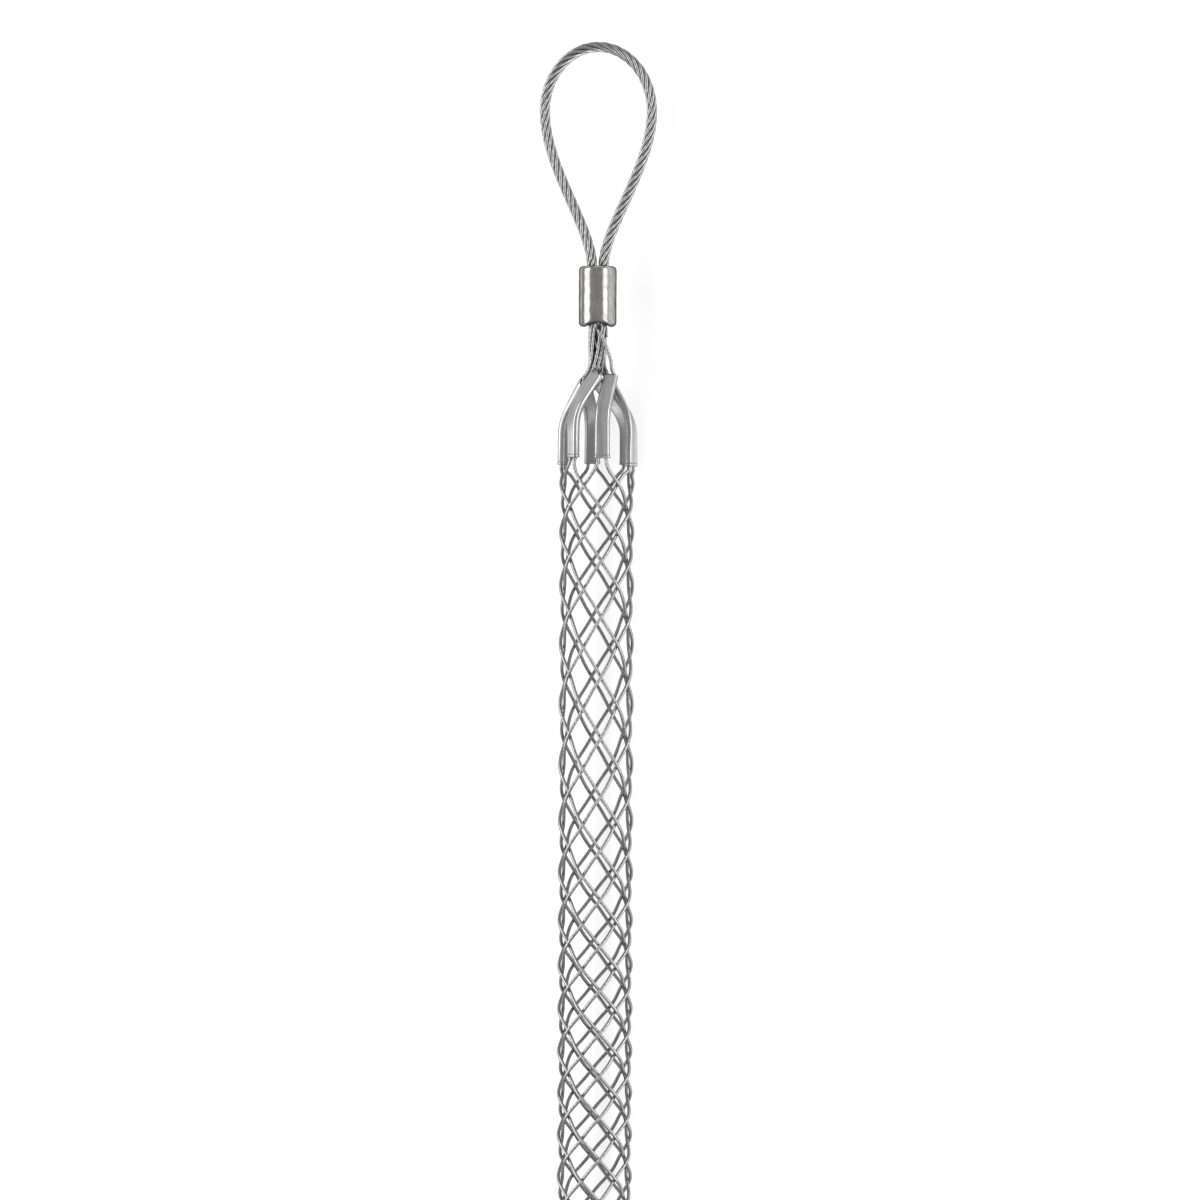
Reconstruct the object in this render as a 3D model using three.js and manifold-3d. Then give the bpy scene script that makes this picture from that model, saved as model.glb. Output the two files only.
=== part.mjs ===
// Cable pulling grip with a flexible rope eye, in millimetres, +Z up.
// A six-strand wire rope is bent into an eye and swaged in a ferrule. Below the ferrule both rope ends are
// unlaid into twelve strand ends, which pass in pairs through six flattened equalizer tubes and are woven
// into an open tubular mesh. The grip lies on a level surface, long axis along Y, eye towards +Y.
import * as THREE from 'three';
import * as BufferGeometryUtils from 'three/addons/utils/BufferGeometryUtils.js';
import Module from 'manifold-3d';

const wasm = await Module();
wasm.setup();

// Wire strands
const STRANDS = 6; // in the rope, each with two ends in the mesh
const STRAND_D = 1.27; // one strand, in the rope and in the mesh
const STRAND_SIDES = 5; // sides of a strand's section
const LAY_PLAY = 0.07; // room between strands laid side by side
const WEAVE_PLAY = 0.17; // room between strands where they cross

// Rope of the eye
const CORE_D = 1.0; // straight core strand
const CORE_SIDES = 4;
const CORE_LEAD = 2.5; // from the ferrule's lower end up to where the core leaves the middle of the rope
const CORE_STUB = 3.4; // cut end of the core below the ferrule
const ROPE_SPREAD = 1.1; // pitch circle over strand spacing, for strands that run at the lay angle
const LAY_TURNS = 8; // turns of lay round the eye
const STEPS_PER_TURN = 6; // facets along one turn of lay
const EYE_HALF_WIDTH = 20; // to the rope's centre line
const EYE_CROWN = 24.3; // crown above the widest place
const EYE_LEG = 57.7; // widest place above the ferrule
const EYE_WAIST_PULL = 20.5; // how far the legs hold their direction below the widest place
const EYE_LEG_PULL = 14.4; // and above the ferrule
const EYE_TILT = 22.3; // turn of the eye's plane from level, degrees

// Swaged ferrule
const FERRULE_D = 14.1;
const FERRULE_L = 22.6;
const FERRULE_EDGE_R = 1.6;
const EDGE_STEPS = 3; // facets of its rounded ends
const FERRULE_SIDES = 28;
const FERRULE_PLAY = 0.3; // room round the strands
const SLOT_DEPTH = 8; // two-leg slot, from the upper end down to the round bore
const SLOT_STEPS = 8; // facets of the slot's half-round ends
const BORE_SIDES = 24;
const ARCH_SPAN = 9.4; // scooped lower end, across the two legs
const ARCH_RISE = 1.3;
const ARCH_SIDES = 60;

// Neck between the ferrule and the tubes
const NECK_L = 19.5; // ferrule to tube tops
const NECK_GATHER = 14.5; // length of the closed bundle
const NECK_EASE = 0.1; // how far the bundle has opened where it starts to flare
const LOOSE_TUBE = 2; // the tube whose one strand end stands off from the bundle
const RING_SQUEEZE = 0.915; // the ring of strands closes up by this to leave the core's gap
const FAN_BULGE = 0.07; // outward bulge of the strands on their way from the legs into the ring

// Equalizer tubes, flattened on a pair of strands
const TUBES = 6;
const TUBE_W = 5.9; // width at the lower mouth
const TUBE_SIDE = 1.15; // depth of a tube's rounded side, from its flat faces out to its edge
const TUBE_TAPER = 0.92; // width at the top over width at the mouth
const TUBE_WALL = 0.75;
const TUBE_PLAY = 0.16; // room round the strands
const TUBE_KNEE = 16.5; // height of the bend above the mouth
const TUBE_KNEE_R = 4; // length of the bend on each side of the knee
const TUBE_RISE = 31; // height of the tops above the mouths
const TUBE_STANDOFF = 1.0; // tube centres outside the middle of the mesh
const TUBE_TOP_R = 6.1; // tube tops from the grip's axis
const TUBE_TWIST = 50; // how far a top is turned round the axis from its mouth, degrees
const TUBE_FACE_TURN = 0.35; // share of that turn that the flat face follows
const TUBE_SLIP = 1.8; // how much lower the lowest tube hangs
const TUBE_SLIPS = [0.61, -0.78, -0.61, 1, 0.5, 0.28]; // each tube's share of that
const STRAY_TUBE = 1; // the tube that hangs closer to its neighbour
const TUBE_STRAY = 12; // by how much, degrees
const LIP_L = 1.1; // rolled lip at the mouth
const LIP_GIRTH = 1.07;
const LIP_ROLL = 0.25; // height over which the lip draws in to the tube
const BEND_STEPS = 3; // facets along a tube's bend
const OBLONG_STEPS = 3; // facets of a tube's rounded side

// Mesh
const MESH_R = 12.8; // axis to the middle of the weave
const ROWS = 32; // crossings along the mesh, first and last inside tube and sleeve mouths
const ROW_PITCH = 7.77; // between rows, where the mesh is closed up
const ROW_STRETCH = 3.62; // added where it is drawn out
const STRETCH_AT = 85.2; // below the tube mouths
const STRETCH_SPAN = 71;
const FIRST_COLUMN = -90; // first tube's place round the axis, degrees

// Tail sleeves, each closed on the last two strand ends of one column
const SLEEVE_L = 12;
const TAIL_END = 1.5; // strand ends past the sleeve
const LEAD = 0.8; // straight run of a strand out of a tube or a sleeve

// Sizes that follow
const FULL_TURN = 360;
const HALF_TURN = FULL_TURN / 2;
const QUARTER_TURN = FULL_TURN / 4;
const ROPE_R = (STRAND_D + LAY_PLAY) * ROPE_SPREAD; // rope axis to strand centres
const LEG_X = ROPE_R + STRAND_D / 2 + LAY_PLAY; // grip axis to each leg of the rope in the ferrule
const SEATS = 2 * STRANDS; // strand ends round the neck
const RING_STEP = FULL_TURN / SEATS;
const RING_R = (STRAND_D + LAY_PLAY) / (2 * Math.sin(THREE.MathUtils.degToRad(RING_STEP * RING_SQUEEZE) / 2));
const TUBE_T = STRAND_D + 2 * (TUBE_PLAY + TUBE_WALL);
const TUBE_R = MESH_R + TUBE_STANDOFF;
const COLUMN_STEP = FULL_TURN / TUBES;
const WEAVE_DEPTH = (STRAND_D + WEAVE_PLAY) / 2; // strand centres in and out of the middle of the weave
const FERRULE_BASE = TUBE_RISE + NECK_L;
const FERRULE_TOP = FERRULE_BASE + FERRULE_L;
const EYE_WAIST = FERRULE_TOP + EYE_LEG;

const STRAND_FINISH = { color: 0xb4b6b4, roughness: 0.42, metalness: 0.9 };
const CORE_FINISH = { color: 0x8f918f, roughness: 0.5, metalness: 0.9 };
const FERRULE_FINISH = { color: 0xbdbeb6, roughness: 0.24, metalness: 1 };
const TUBE_FINISH = { color: 0xc2c4c4, roughness: 0.3, metalness: 1 };

const { degToRad, lerp } = THREE.MathUtils;

// Unit vector at an angle round the grip's axis, from +Z towards +X.
function outward(angle) {
  return new THREE.Vector3(Math.sin(degToRad(angle)), 0, Math.cos(degToRad(angle)));
}

function place(angle, radius, height) {
  return outward(angle).multiplyScalar(radius).setY(height);
}

const EYE_FRONT = outward(EYE_TILT);
const EYE_RIGHT = outward(EYE_TILT + QUARTER_TURN);

// Point given across the eye's plane, in front of it, and along the grip.
function inEyeFrame(right, front, height) {
  return EYE_RIGHT.clone().multiplyScalar(right).addScaledVector(EYE_FRONT, front).setY(height);
}

// Centre line through stations. Each station holds its point (at), the direction that the section's x axis
// faces (out), and may scale the section along y (broad) or all round (girth). A section that looks the same
// after 1/symmetry of a turn may be turned by whole such steps, so that its edges run on without twisting.
class StationPath extends THREE.Curve {
  constructor(stations, symmetry) {
    super();
    this.stations = stations;
    this.symmetry = symmetry;
    this.last = stations.length - 1;
  }

  getPointAt(share, target = new THREE.Vector3()) {
    return target.copy(this.stations[Math.round(share * this.last)].at);
  }

  getTangentAt(share, target = new THREE.Vector3()) {
    const index = Math.round(share * this.last);
    const here = this.stations[index].at;
    const before = this.stations[Math.max(index - 1, 0)].at;
    const after = this.stations[Math.min(index + 1, this.last)].at;
    const arriving = here.clone().sub(before).normalize();
    return target.copy(after).sub(here).normalize().add(arriving).normalize();
  }

  computeFrenetFrames() {
    const frames = { tangents: [], normals: [], binormals: [] };
    const step = (2 * Math.PI) / this.symmetry;
    let carried = null;
    this.stations.forEach(({ out, broad = 1, girth = 1 }, index) => {
      const tangent = this.getTangentAt(index / this.last);
      const normal = out.clone().projectOnPlane(tangent).normalize();
      if (carried) {
        carried.projectOnPlane(tangent).normalize();
        const turn = Math.atan2(tangent.dot(carried.clone().cross(normal)), carried.dot(normal));
        normal.applyAxisAngle(tangent, -Math.round(turn / step) * step);
      }
      carried = normal.clone();
      frames.tangents.push(tangent);
      frames.normals.push(normal.clone().multiplyScalar(girth));
      frames.binormals.push(tangent.clone().cross(normal).multiplyScalar(girth * broad));
    });
    return frames;
  }
}

function sweep(section, path) {
  return new THREE.ExtrudeGeometry(section, { extrudePath: path, steps: path.last, bevelEnabled: false });
}

function roundSection(diameter, sides) {
  const corners = Array.from({ length: sides }, (_, i) => {
    const angle = (2 * Math.PI * i) / sides;
    return new THREE.Vector2(Math.cos(angle), Math.sin(angle)).multiplyScalar(diameter / 2);
  });
  return new THREE.Shape(corners);
}

// Angle brought to between minus half a turn and half a turn
function wrapped(angle) {
  return THREE.MathUtils.euclideanModulo(angle + HALF_TURN, FULL_TURN) - HALF_TURN;
}

// Flat-sided outline with rounded ends that are side deep, long along y. The facets nearest the crest keep
// the full width.
function oblong(width, thickness, side, segments) {
  const radius = thickness / 2;
  const reach = width / 2 - side;
  const crest = Math.sin((Math.PI * Math.floor(segments / 2)) / segments);
  const points = [];
  for (const [centre, start] of [[reach, 0], [-reach, Math.PI]]) {
    for (let i = 0; i <= segments; i++) {
      const angle = start + (Math.PI * i) / segments;
      points.push(new THREE.Vector2(radius * Math.cos(angle), centre + (side * Math.sin(angle)) / crest));
    }
  }
  return points;
}

function named(name, geometry, finish) {
  const mesh = new THREE.Mesh(geometry, new THREE.MeshStandardMaterial(finish));
  mesh.name = name;
  return mesh;
}

function toSolid(geometry) {
  const bare = geometry.clone();
  bare.deleteAttribute('normal');
  bare.deleteAttribute('uv');
  const merged = BufferGeometryUtils.mergeVertices(bare, 1e-4);
  const { array } = merged.attributes.position;
  const mesh = new wasm.Mesh({
    numProp: 3,
    vertProperties: Float32Array.from(array),
    triVerts: Uint32Array.from(merged.index.array),
  });
  return new wasm.Manifold(mesh);
}

function toGeometry(solid) {
  const mesh = solid.getMesh();
  const geometry = new THREE.BufferGeometry();
  geometry.setAttribute('position', new THREE.BufferAttribute(mesh.vertProperties, 3));
  geometry.setIndex(new THREE.BufferAttribute(mesh.triVerts, 1));
  const faceted = geometry.toNonIndexed();
  faceted.computeVertexNormals();
  return faceted;
}

// Rope eye

// Drop-shaped centre line, left leg up, over the crown, right leg down.
function eyeLine() {
  const line = new THREE.Path();
  const waist = EYE_WAIST - EYE_WAIST_PULL;
  const leg = FERRULE_TOP + EYE_LEG_PULL;
  line.moveTo(-LEG_X, FERRULE_TOP);
  line.bezierCurveTo(-LEG_X, leg, -EYE_HALF_WIDTH, waist, -EYE_HALF_WIDTH, EYE_WAIST);
  line.absellipse(0, EYE_WAIST, EYE_HALF_WIDTH, EYE_CROWN, Math.PI, 0, true);
  line.bezierCurveTo(EYE_HALF_WIDTH, waist, LEG_X, leg, LEG_X, FERRULE_TOP);
  return line;
}

// Stations of a strand that is laid right-handed round the eye's line. Each strand starts a sixth of a turn
// on from the one before, measured from the loop's outside towards its front.
const HEX_STEP = FULL_TURN / STRANDS;
const HEX_START = HEX_STEP / 2;

function layRoundEye(strand, line) {
  const steps = LAY_TURNS * STEPS_PER_TURN;
  return Array.from({ length: steps + 1 }, (_, i) => {
    const centre = line.getPointAt(i / steps);
    const along = line.getTangentAt(i / steps);
    const away = inEyeFrame(-along.y, 0, along.x);
    const phase = degToRad(HEX_START + HEX_STEP * strand + (FULL_TURN * LAY_TURNS * i) / steps);
    const out = away.multiplyScalar(Math.cos(phase)).addScaledVector(EYE_FRONT, Math.sin(phase));
    return { at: inEyeFrame(centre.x, 0, centre.y).addScaledVector(out, ROPE_R), out };
  });
}

// Seats round the neck

// Twelve seats stand 30 degrees apart, seat 0 at 15 degrees from the eye's front towards its right. A leg's
// hexagon of strands unrolls into its half of the ring: half the strand's angle from the leg's outer side.
function seatOf(strand, side) {
  const half = wrapped(HEX_START + HEX_STEP * strand) / 2;
  const angle = side > 0 ? QUARTER_TURN - half : HALF_TURN + QUARTER_TURN + half;
  return Math.round((angle - RING_STEP / 2) / RING_STEP) % SEATS;
}

function seatAngle(seat) {
  return RING_STEP / 2 + RING_STEP * seat;
}

// The same seat where the ring is squeezed to let the core out on the right.
function squeezedAngle(seat) {
  const fromCore = wrapped(seatAngle(seat) - QUARTER_TURN);
  const toFarSide = (HALF_TURN - Math.abs(fromCore)) * RING_SQUEEZE;
  return QUARTER_TURN + Math.sign(fromCore) * (HALF_TURN - toFarSide);
}

// Strand ends in the order of their seats, as [tube, side of the tube]. One end of the third tube crosses
// over its neighbours and takes the first seat.
const SEAT_HOLDERS = (() => {
  const holders = [];
  for (let seat = 0; seat < SEATS; seat++) {
    holders.push([Math.ceil(seat / 2) % TUBES, seat % 2 ? -1 : 1]);
  }
  holders.unshift(...holders.splice(2 * LOOSE_TUBE, 1));
  return holders;
})();

// Standing-off route of the crossing end: distance below the ferrule, radius, angle from the eye's front.
const LOOSE_ROUTE = [
  [1.8, 4.1, 8],
  [4.5, 4.8, 25],
  [8.7, 5.8, 39],
  [12.9, 6.9, 46.5],
  [16.4, 6.9, 53],
];

// Flare from the gathered bundle to the tube tops: share of the way down, share of the way out
const FLARE = [
  [0.4, 0.25],
  [0.7, 0.6],
];

// Stations of one strand end from the ferrule's top down to the tube
function neckStations(strand, side, tube, tubeSide) {
  const phase = degToRad(HEX_START + HEX_STEP * strand);
  const hexX = side * (LEG_X + ROPE_R * Math.cos(phase));
  const hexZ = ROPE_R * Math.sin(phase);
  const hexOut = inEyeFrame(side * Math.cos(phase), Math.sin(phase), 0);
  const seat = seatOf(strand, side);
  const squeezed = squeezedAngle(seat);
  const slotEnd = FERRULE_TOP - SLOT_DEPTH;
  const ringStart = FERRULE_BASE + CORE_LEAD;
  const stations = [{ at: inEyeFrame(hexX, hexZ, slotEnd), out: hexOut }];

  const ring = place(EYE_TILT + squeezed, RING_R, 0);
  const gatherSteps = 3;
  for (let i = 1; i <= gatherSteps; i++) {
    const share = i / gatherSteps;
    const at = inEyeFrame(hexX, hexZ, 0).lerp(ring, share);
    at.multiplyScalar(1 + FAN_BULGE * Math.sin(Math.PI * share)).setY(lerp(slotEnd, ringStart, share));
    stations.push({ at, out: at.clone().setY(0).normalize() });
  }
  const ringOut = outward(EYE_TILT + squeezed);
  stations.push({ at: place(EYE_TILT + squeezed, RING_R, FERRULE_BASE), out: ringOut });

  if (tube === LOOSE_TUBE && tubeSide > 0) {
    for (const [drop, radius, angle] of LOOSE_ROUTE) {
      const out = outward(EYE_TILT + angle);
      stations.push({ at: place(EYE_TILT + angle, radius, FERRULE_BASE - drop), out });
    }
    return stations;
  }

  const aim = columnAngle(tube) + TUBE_TWIST + (tubeSide * RING_STEP) / 2;
  const bundle = [
    [CORE_STUB, RING_R, squeezed],
    [(CORE_STUB + NECK_GATHER) / 2, RING_R, seatAngle(seat)],
    [NECK_GATHER, RING_R + NECK_EASE, seatAngle(seat)],
  ].map(([drop, ...rest]) => [drop, drop / NECK_L, ...rest]);
  const flare = FLARE.map(([down, out]) => [
    lerp(NECK_GATHER, NECK_L + slipOf(tube), down),
    lerp(NECK_GATHER / NECK_L, 1, down),
    lerp(RING_R, TUBE_TOP_R, out),
    seatAngle(seat),
  ]);
  for (const [drop, turned, radius, from] of [...bundle, ...flare]) {
    const start = EYE_TILT + from;
    const angle = start + wrapped(aim - start) * turned;
    stations.push({ at: place(angle, radius, FERRULE_BASE - drop), out: outward(angle) });
  }
  return stations;
}

// Equalizer tubes

function columnAngle(tube) {
  return FIRST_COLUMN + COLUMN_STEP * tube;
}

// Where a tube hangs round the axis below its knee
function hangAngle(tube) {
  return columnAngle(tube) + (tube === STRAY_TUBE ? TUBE_STRAY : 0);
}

// How far a tube has slipped down the strands
function slipOf(tube) {
  return TUBE_SLIP * TUBE_SLIPS[tube];
}

function tubeStations(tube, withLip) {
  const column = hangAngle(tube);
  const slip = slipOf(tube);
  const mouth = place(column, TUBE_R, -slip);
  const knee = place(column, TUBE_R, TUBE_KNEE - slip);
  const top = place(columnAngle(tube) + TUBE_TWIST, TUBE_TOP_R, TUBE_RISE - slip);
  const slope = top.clone().sub(knee).normalize();
  const bend = new THREE.QuadraticBezierCurve3(
    knee.clone().setY(knee.y - TUBE_KNEE_R),
    knee,
    knee.clone().addScaledVector(slope, TUBE_KNEE_R),
  );
  const stations = [{ at: mouth, out: outward(column), girth: withLip ? LIP_GIRTH : 1 }];
  if (withLip) {
    const lipTop = mouth.clone().setY(mouth.y + LIP_L);
    stations.push({ at: lipTop, out: outward(column), girth: LIP_GIRTH });
    stations.push({ at: lipTop.clone().setY(lipTop.y + LIP_ROLL), out: outward(column) });
  }
  for (const at of bend.getPoints(BEND_STEPS)) stations.push({ at, out: outward(column) });
  stations.push({ at: top, out: outward(columnAngle(tube) + TUBE_TWIST * TUBE_FACE_TURN) });
  for (const station of stations) {
    station.broad = lerp(1, TUBE_TAPER, (station.at.y + slip) / TUBE_RISE);
  }
  return stations;
}

function oblongTube(stations) {
  const [boreW, boreT] = [TUBE_W, TUBE_T].map((size) => size - 2 * TUBE_WALL);
  const section = new THREE.Shape(oblong(TUBE_W, TUBE_T, TUBE_SIDE, OBLONG_STEPS));
  section.holes.push(new THREE.Path(oblong(boreW, boreT, boreT / 2, OBLONG_STEPS)));
  return sweep(section, new StationPath(stations, 1));
}

// How far a strand lies to the side of a tube's or a sleeve's centre line.
function sideRoom(broad) {
  return (TUBE_W / 2 - TUBE_WALL) * broad - TUBE_PLAY - STRAND_D / 2;
}

// Stations of one strand end inside its tube, from the top down to just below the mouth.
function stationsInTube(tube, tubeSide) {
  const path = new StationPath(tubeStations(tube, false), 1);
  const frames = path.computeFrenetFrames();
  const inside = path.stations.map(({ at, broad }, i) => {
    const across = frames.binormals[i].clone().normalize();
    const shifted = at.clone().addScaledVector(across, tubeSide * sideRoom(broad));
    return { at: shifted, out: frames.normals[i].clone().normalize() };
  });
  const lead = { at: inside[0].at.clone().setY(inside[0].at.y - LEAD), out: inside[0].out };
  return [lead, ...inside].reverse();
}

// Mesh

// Height of each row of crossings, measured down from the tube mouths.
function rowHeights() {
  const heights = [0];
  for (let row = 1; row <= ROWS; row++) {
    const middle = heights[row - 1] - ROW_PITCH / 2;
    const drawn = ROW_STRETCH * Math.exp(-(((middle + STRETCH_AT) / STRETCH_SPAN) ** 2));
    heights.push(heights[row - 1] - ROW_PITCH - drawn);
  }
  return heights;
}

const HEIGHTS = rowHeights();
const TAIL = HEIGHTS[ROWS];

// Stations of one strand end through the weave to its tail. Ends from a tube's right side run one way round
// and lie outside in odd rows, and ends from its left side run the other way and lie outside in even rows.
function meshStations(tube, tubeSide) {
  const column = columnAngle(tube);
  const parting = THREE.MathUtils.radToDeg(Math.atan2(sideRoom(1), TUBE_R));
  const radius = Math.hypot(sideRoom(1), TUBE_R);
  const rows = [[hangAngle(tube) + tubeSide * parting, radius, -slipOf(tube) - LEAD]];
  for (let row = 1; row < ROWS; row++) {
    const outside = row % 2 === (tubeSide > 0 ? 1 : 0);
    const angle = column + (tubeSide * row * COLUMN_STEP) / 2;
    rows.push([angle, MESH_R + (outside ? WEAVE_DEPTH : -WEAVE_DEPTH), HEIGHTS[row]]);
  }
  const tailAngle = column + tubeSide * ((ROWS * COLUMN_STEP) / 2 - parting);
  rows.push([tailAngle, radius, TAIL + LEAD]);

  const stations = [];
  for (let row = 1; row < rows.length; row++) {
    const middle = rows[row].map((value, i) => (value + rows[row - 1][i]) / 2);
    for (const [angle, r, height] of [middle, rows[row]]) {
      stations.push({ at: place(angle, r, height), out: outward(angle) });
    }
  }
  stations.push({ at: place(tailAngle, radius, TAIL - SLEEVE_L - TAIL_END), out: outward(tailAngle) });
  return stations;
}

// Whole strands

function strandEnd(strand, side) {
  const [tube, tubeSide] = SEAT_HOLDERS[seatOf(strand, side)];
  return [
    ...neckStations(strand, side, tube, tubeSide),
    ...stationsInTube(tube, tubeSide),
    ...meshStations(tube, tubeSide),
  ];
}

function buildStrand(strand, line) {
  const stations = [
    ...strandEnd(strand, -1).reverse(),
    ...layRoundEye(strand, line),
    ...strandEnd(strand, 1),
  ];
  const path = new StationPath(stations, STRAND_SIDES);
  return named(`strand_${strand + 1}`, sweep(roundSection(STRAND_D, STRAND_SIDES), path), STRAND_FINISH);
}

// The core stays in the middle of the rope and ends as a cut stub beside the right leg's strands.
function buildCore(line) {
  const steps = LAY_TURNS * CORE_SIDES;
  const stations = [{ at: inEyeFrame(-LEG_X, 0, FERRULE_TOP - SLOT_DEPTH), out: EYE_FRONT }];
  for (let i = 0; i <= steps; i++) {
    const centre = line.getPointAt(i / steps);
    stations.push({ at: inEyeFrame(centre.x, 0, centre.y), out: EYE_FRONT });
  }
  const stubX = RING_R + CORE_D / 2;
  const twist = (EYE_TILT - TUBE_TWIST - FIRST_COLUMN + RING_STEP) * (CORE_STUB / NECK_L);
  const cut = place(EYE_TILT + QUARTER_TURN - twist, stubX, FERRULE_BASE - CORE_STUB);
  stations.push({ at: inEyeFrame(LEG_X, 0, FERRULE_BASE + CORE_LEAD), out: EYE_FRONT });
  stations.push({ at: inEyeFrame(stubX, 0, FERRULE_BASE), out: EYE_FRONT });
  stations.push({ at: cut, out: EYE_FRONT });
  const path = new StationPath(stations, CORE_SIDES);
  return named('rope_core', sweep(roundSection(CORE_D, CORE_SIDES), path), CORE_FINISH);
}

// Ferrule

// Turned with rounded ends, then cut by the slot for the two legs, the round bore that the gathered strands
// leave through, and the scoop across its lower end.
function buildFerrule() {
  const radius = FERRULE_D / 2;
  const flat = radius - FERRULE_EDGE_R;
  const profile = [new THREE.Vector2(0, 0), new THREE.Vector2(flat, 0)];
  for (const [height, start] of [[FERRULE_EDGE_R, -QUARTER_TURN], [FERRULE_L - FERRULE_EDGE_R, 0]]) {
    for (let step = 1; step <= EDGE_STEPS; step++) {
      const angle = degToRad(start + (QUARTER_TURN * step) / EDGE_STEPS);
      const x = flat + FERRULE_EDGE_R * Math.cos(angle);
      profile.push(new THREE.Vector2(x, height + FERRULE_EDGE_R * Math.sin(angle)));
    }
    if (start < 0) profile.push(new THREE.Vector2(radius, FERRULE_L - FERRULE_EDGE_R));
  }
  profile.push(new THREE.Vector2(0, FERRULE_L));
  const blank = toSolid(new THREE.LatheGeometry(profile, FERRULE_SIDES));

  const past = 1;
  const slotR = ROPE_R + STRAND_D / 2 + FERRULE_PLAY;
  const slotOutline = new THREE.Shape(oblong(2 * (LEG_X + slotR), 2 * slotR, slotR, SLOT_STEPS));
  const slot = new THREE.ExtrudeGeometry(slotOutline, { depth: FERRULE_L + 2 * past, bevelEnabled: false });
  slot.rotateZ(Math.PI / 2).rotateX(-Math.PI / 2).translate(0, -past, 0);

  const boreR = RING_R + STRAND_D / 2 + FERRULE_PLAY;
  const boreL = FERRULE_L - SLOT_DEPTH + past;
  const bore = new THREE.CylinderGeometry(boreR, boreR, boreL, BORE_SIDES).translate(0, boreL / 2 - past, 0);

  const archR = ((ARCH_SPAN / 2) ** 2 + ARCH_RISE ** 2) / (2 * ARCH_RISE);
  const arch = new THREE.CylinderGeometry(archR, archR, FERRULE_D + 2 * past, ARCH_SIDES);
  arch.rotateX(Math.PI / 2).translate(0, ARCH_RISE - archR, 0);

  let solid = blank;
  for (const cutter of [slot, bore, arch]) solid = solid.subtract(toSolid(cutter));
  const mesh = named('swage_ferrule', toGeometry(solid), FERRULE_FINISH);
  mesh.position.y = FERRULE_BASE;
  mesh.rotation.y = degToRad(EYE_TILT);
  return mesh;
}

// Assembly

const grip = new THREE.Group();
const line = eyeLine();
for (let strand = 0; strand < STRANDS; strand++) grip.add(buildStrand(strand, line));
grip.add(buildCore(line));
grip.add(buildFerrule());
for (let tube = 0; tube < TUBES; tube++) {
  const column = columnAngle(tube);
  grip.add(named(`equalizer_tube_${tube + 1}`, oblongTube(tubeStations(tube, true)), TUBE_FINISH));
  const sleeve = [TAIL, TAIL - SLEEVE_L].map((height) => ({
    at: place(column, TUBE_R, height),
    out: outward(column),
  }));
  grip.add(named(`tail_sleeve_${tube + 1}`, oblongTube(sleeve), TUBE_FINISH));
}

// The origin is the middle of the underside of the grip's box.
const box = new THREE.Box3().setFromObject(grip, true);
const middle = box.getCenter(new THREE.Vector3());
grip.position.set(-middle.x, -middle.y, -box.min.z);

export default grip;
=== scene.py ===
"""Looks of a cable pulling grip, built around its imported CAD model.

A six-strand wire rope is bent into an eye and swaged in a ferrule. Below the ferrule its strands are
unlaid, pass in pairs through flattened equalizer tubes and are woven into an open tubular mesh.
Every piece is a surface worked out with numpy. Sizes are in millimetres round the grip's own axis,
with heights counted from the tube mouths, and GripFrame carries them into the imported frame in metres.
"""

from __future__ import annotations

import logging
from dataclasses import dataclass, field
from enum import Enum

import bpy
import numpy as np
from mathutils import Matrix, Vector
from numpy.typing import NDArray

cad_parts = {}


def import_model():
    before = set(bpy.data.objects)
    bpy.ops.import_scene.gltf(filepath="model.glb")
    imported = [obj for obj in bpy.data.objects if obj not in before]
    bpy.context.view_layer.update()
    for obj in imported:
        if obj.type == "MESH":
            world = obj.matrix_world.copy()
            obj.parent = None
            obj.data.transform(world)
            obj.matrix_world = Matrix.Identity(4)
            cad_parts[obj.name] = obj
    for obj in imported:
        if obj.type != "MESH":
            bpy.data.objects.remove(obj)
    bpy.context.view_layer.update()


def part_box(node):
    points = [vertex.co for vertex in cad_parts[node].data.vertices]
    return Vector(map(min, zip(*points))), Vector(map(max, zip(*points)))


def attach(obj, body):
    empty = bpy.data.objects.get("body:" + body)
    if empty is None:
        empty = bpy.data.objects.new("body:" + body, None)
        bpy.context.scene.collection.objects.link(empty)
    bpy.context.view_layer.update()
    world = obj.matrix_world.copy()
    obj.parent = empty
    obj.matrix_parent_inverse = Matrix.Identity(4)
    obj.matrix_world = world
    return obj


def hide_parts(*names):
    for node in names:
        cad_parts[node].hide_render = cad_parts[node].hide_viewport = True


Array = NDArray[np.float64]
Faces = NDArray[np.int32]
Socket = bpy.types.NodeSocket
Color = tuple[float, float, float, float]

LOG = logging.getLogger("grip")
MM = 0.001
BODY = "root"


class Slot(Enum):
    """Material slots of the record."""

    STRAND = "strand_wire"
    CORE = "core_wire"
    FERRULE = "ferrule_metal"
    TUBE = "tube_metal"


class Side(Enum):
    """The two ends of a strand, and the two sides of a tube."""

    LEFT = -1
    RIGHT = 1


# Geometry helpers


def unit(vectors: Array) -> Array:
    """Return the vectors divided by their lengths."""
    return vectors / np.linalg.norm(vectors, axis=-1, keepdims=True)


def outward(angle: Array | float) -> Array:
    """Return unit vectors at angles in degrees round the grip's axis, from +Z towards +X."""
    turn = np.radians(np.asarray(angle, float))
    return np.stack([np.sin(turn), np.zeros_like(turn), np.cos(turn)], axis=-1)


def place(angle: Array | float, radius: Array | float, height: Array | float) -> Array:
    """Return points given by angle, distance from the grip's axis and height along it."""
    points = outward(angle) * np.asarray(radius, float)[..., None]
    points[..., 1] = height
    return points


def wrapped(angle: float) -> float:
    """Return an angle in degrees brought into -180 to 180."""
    return (angle + 180.0) % 360.0 - 180.0


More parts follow.
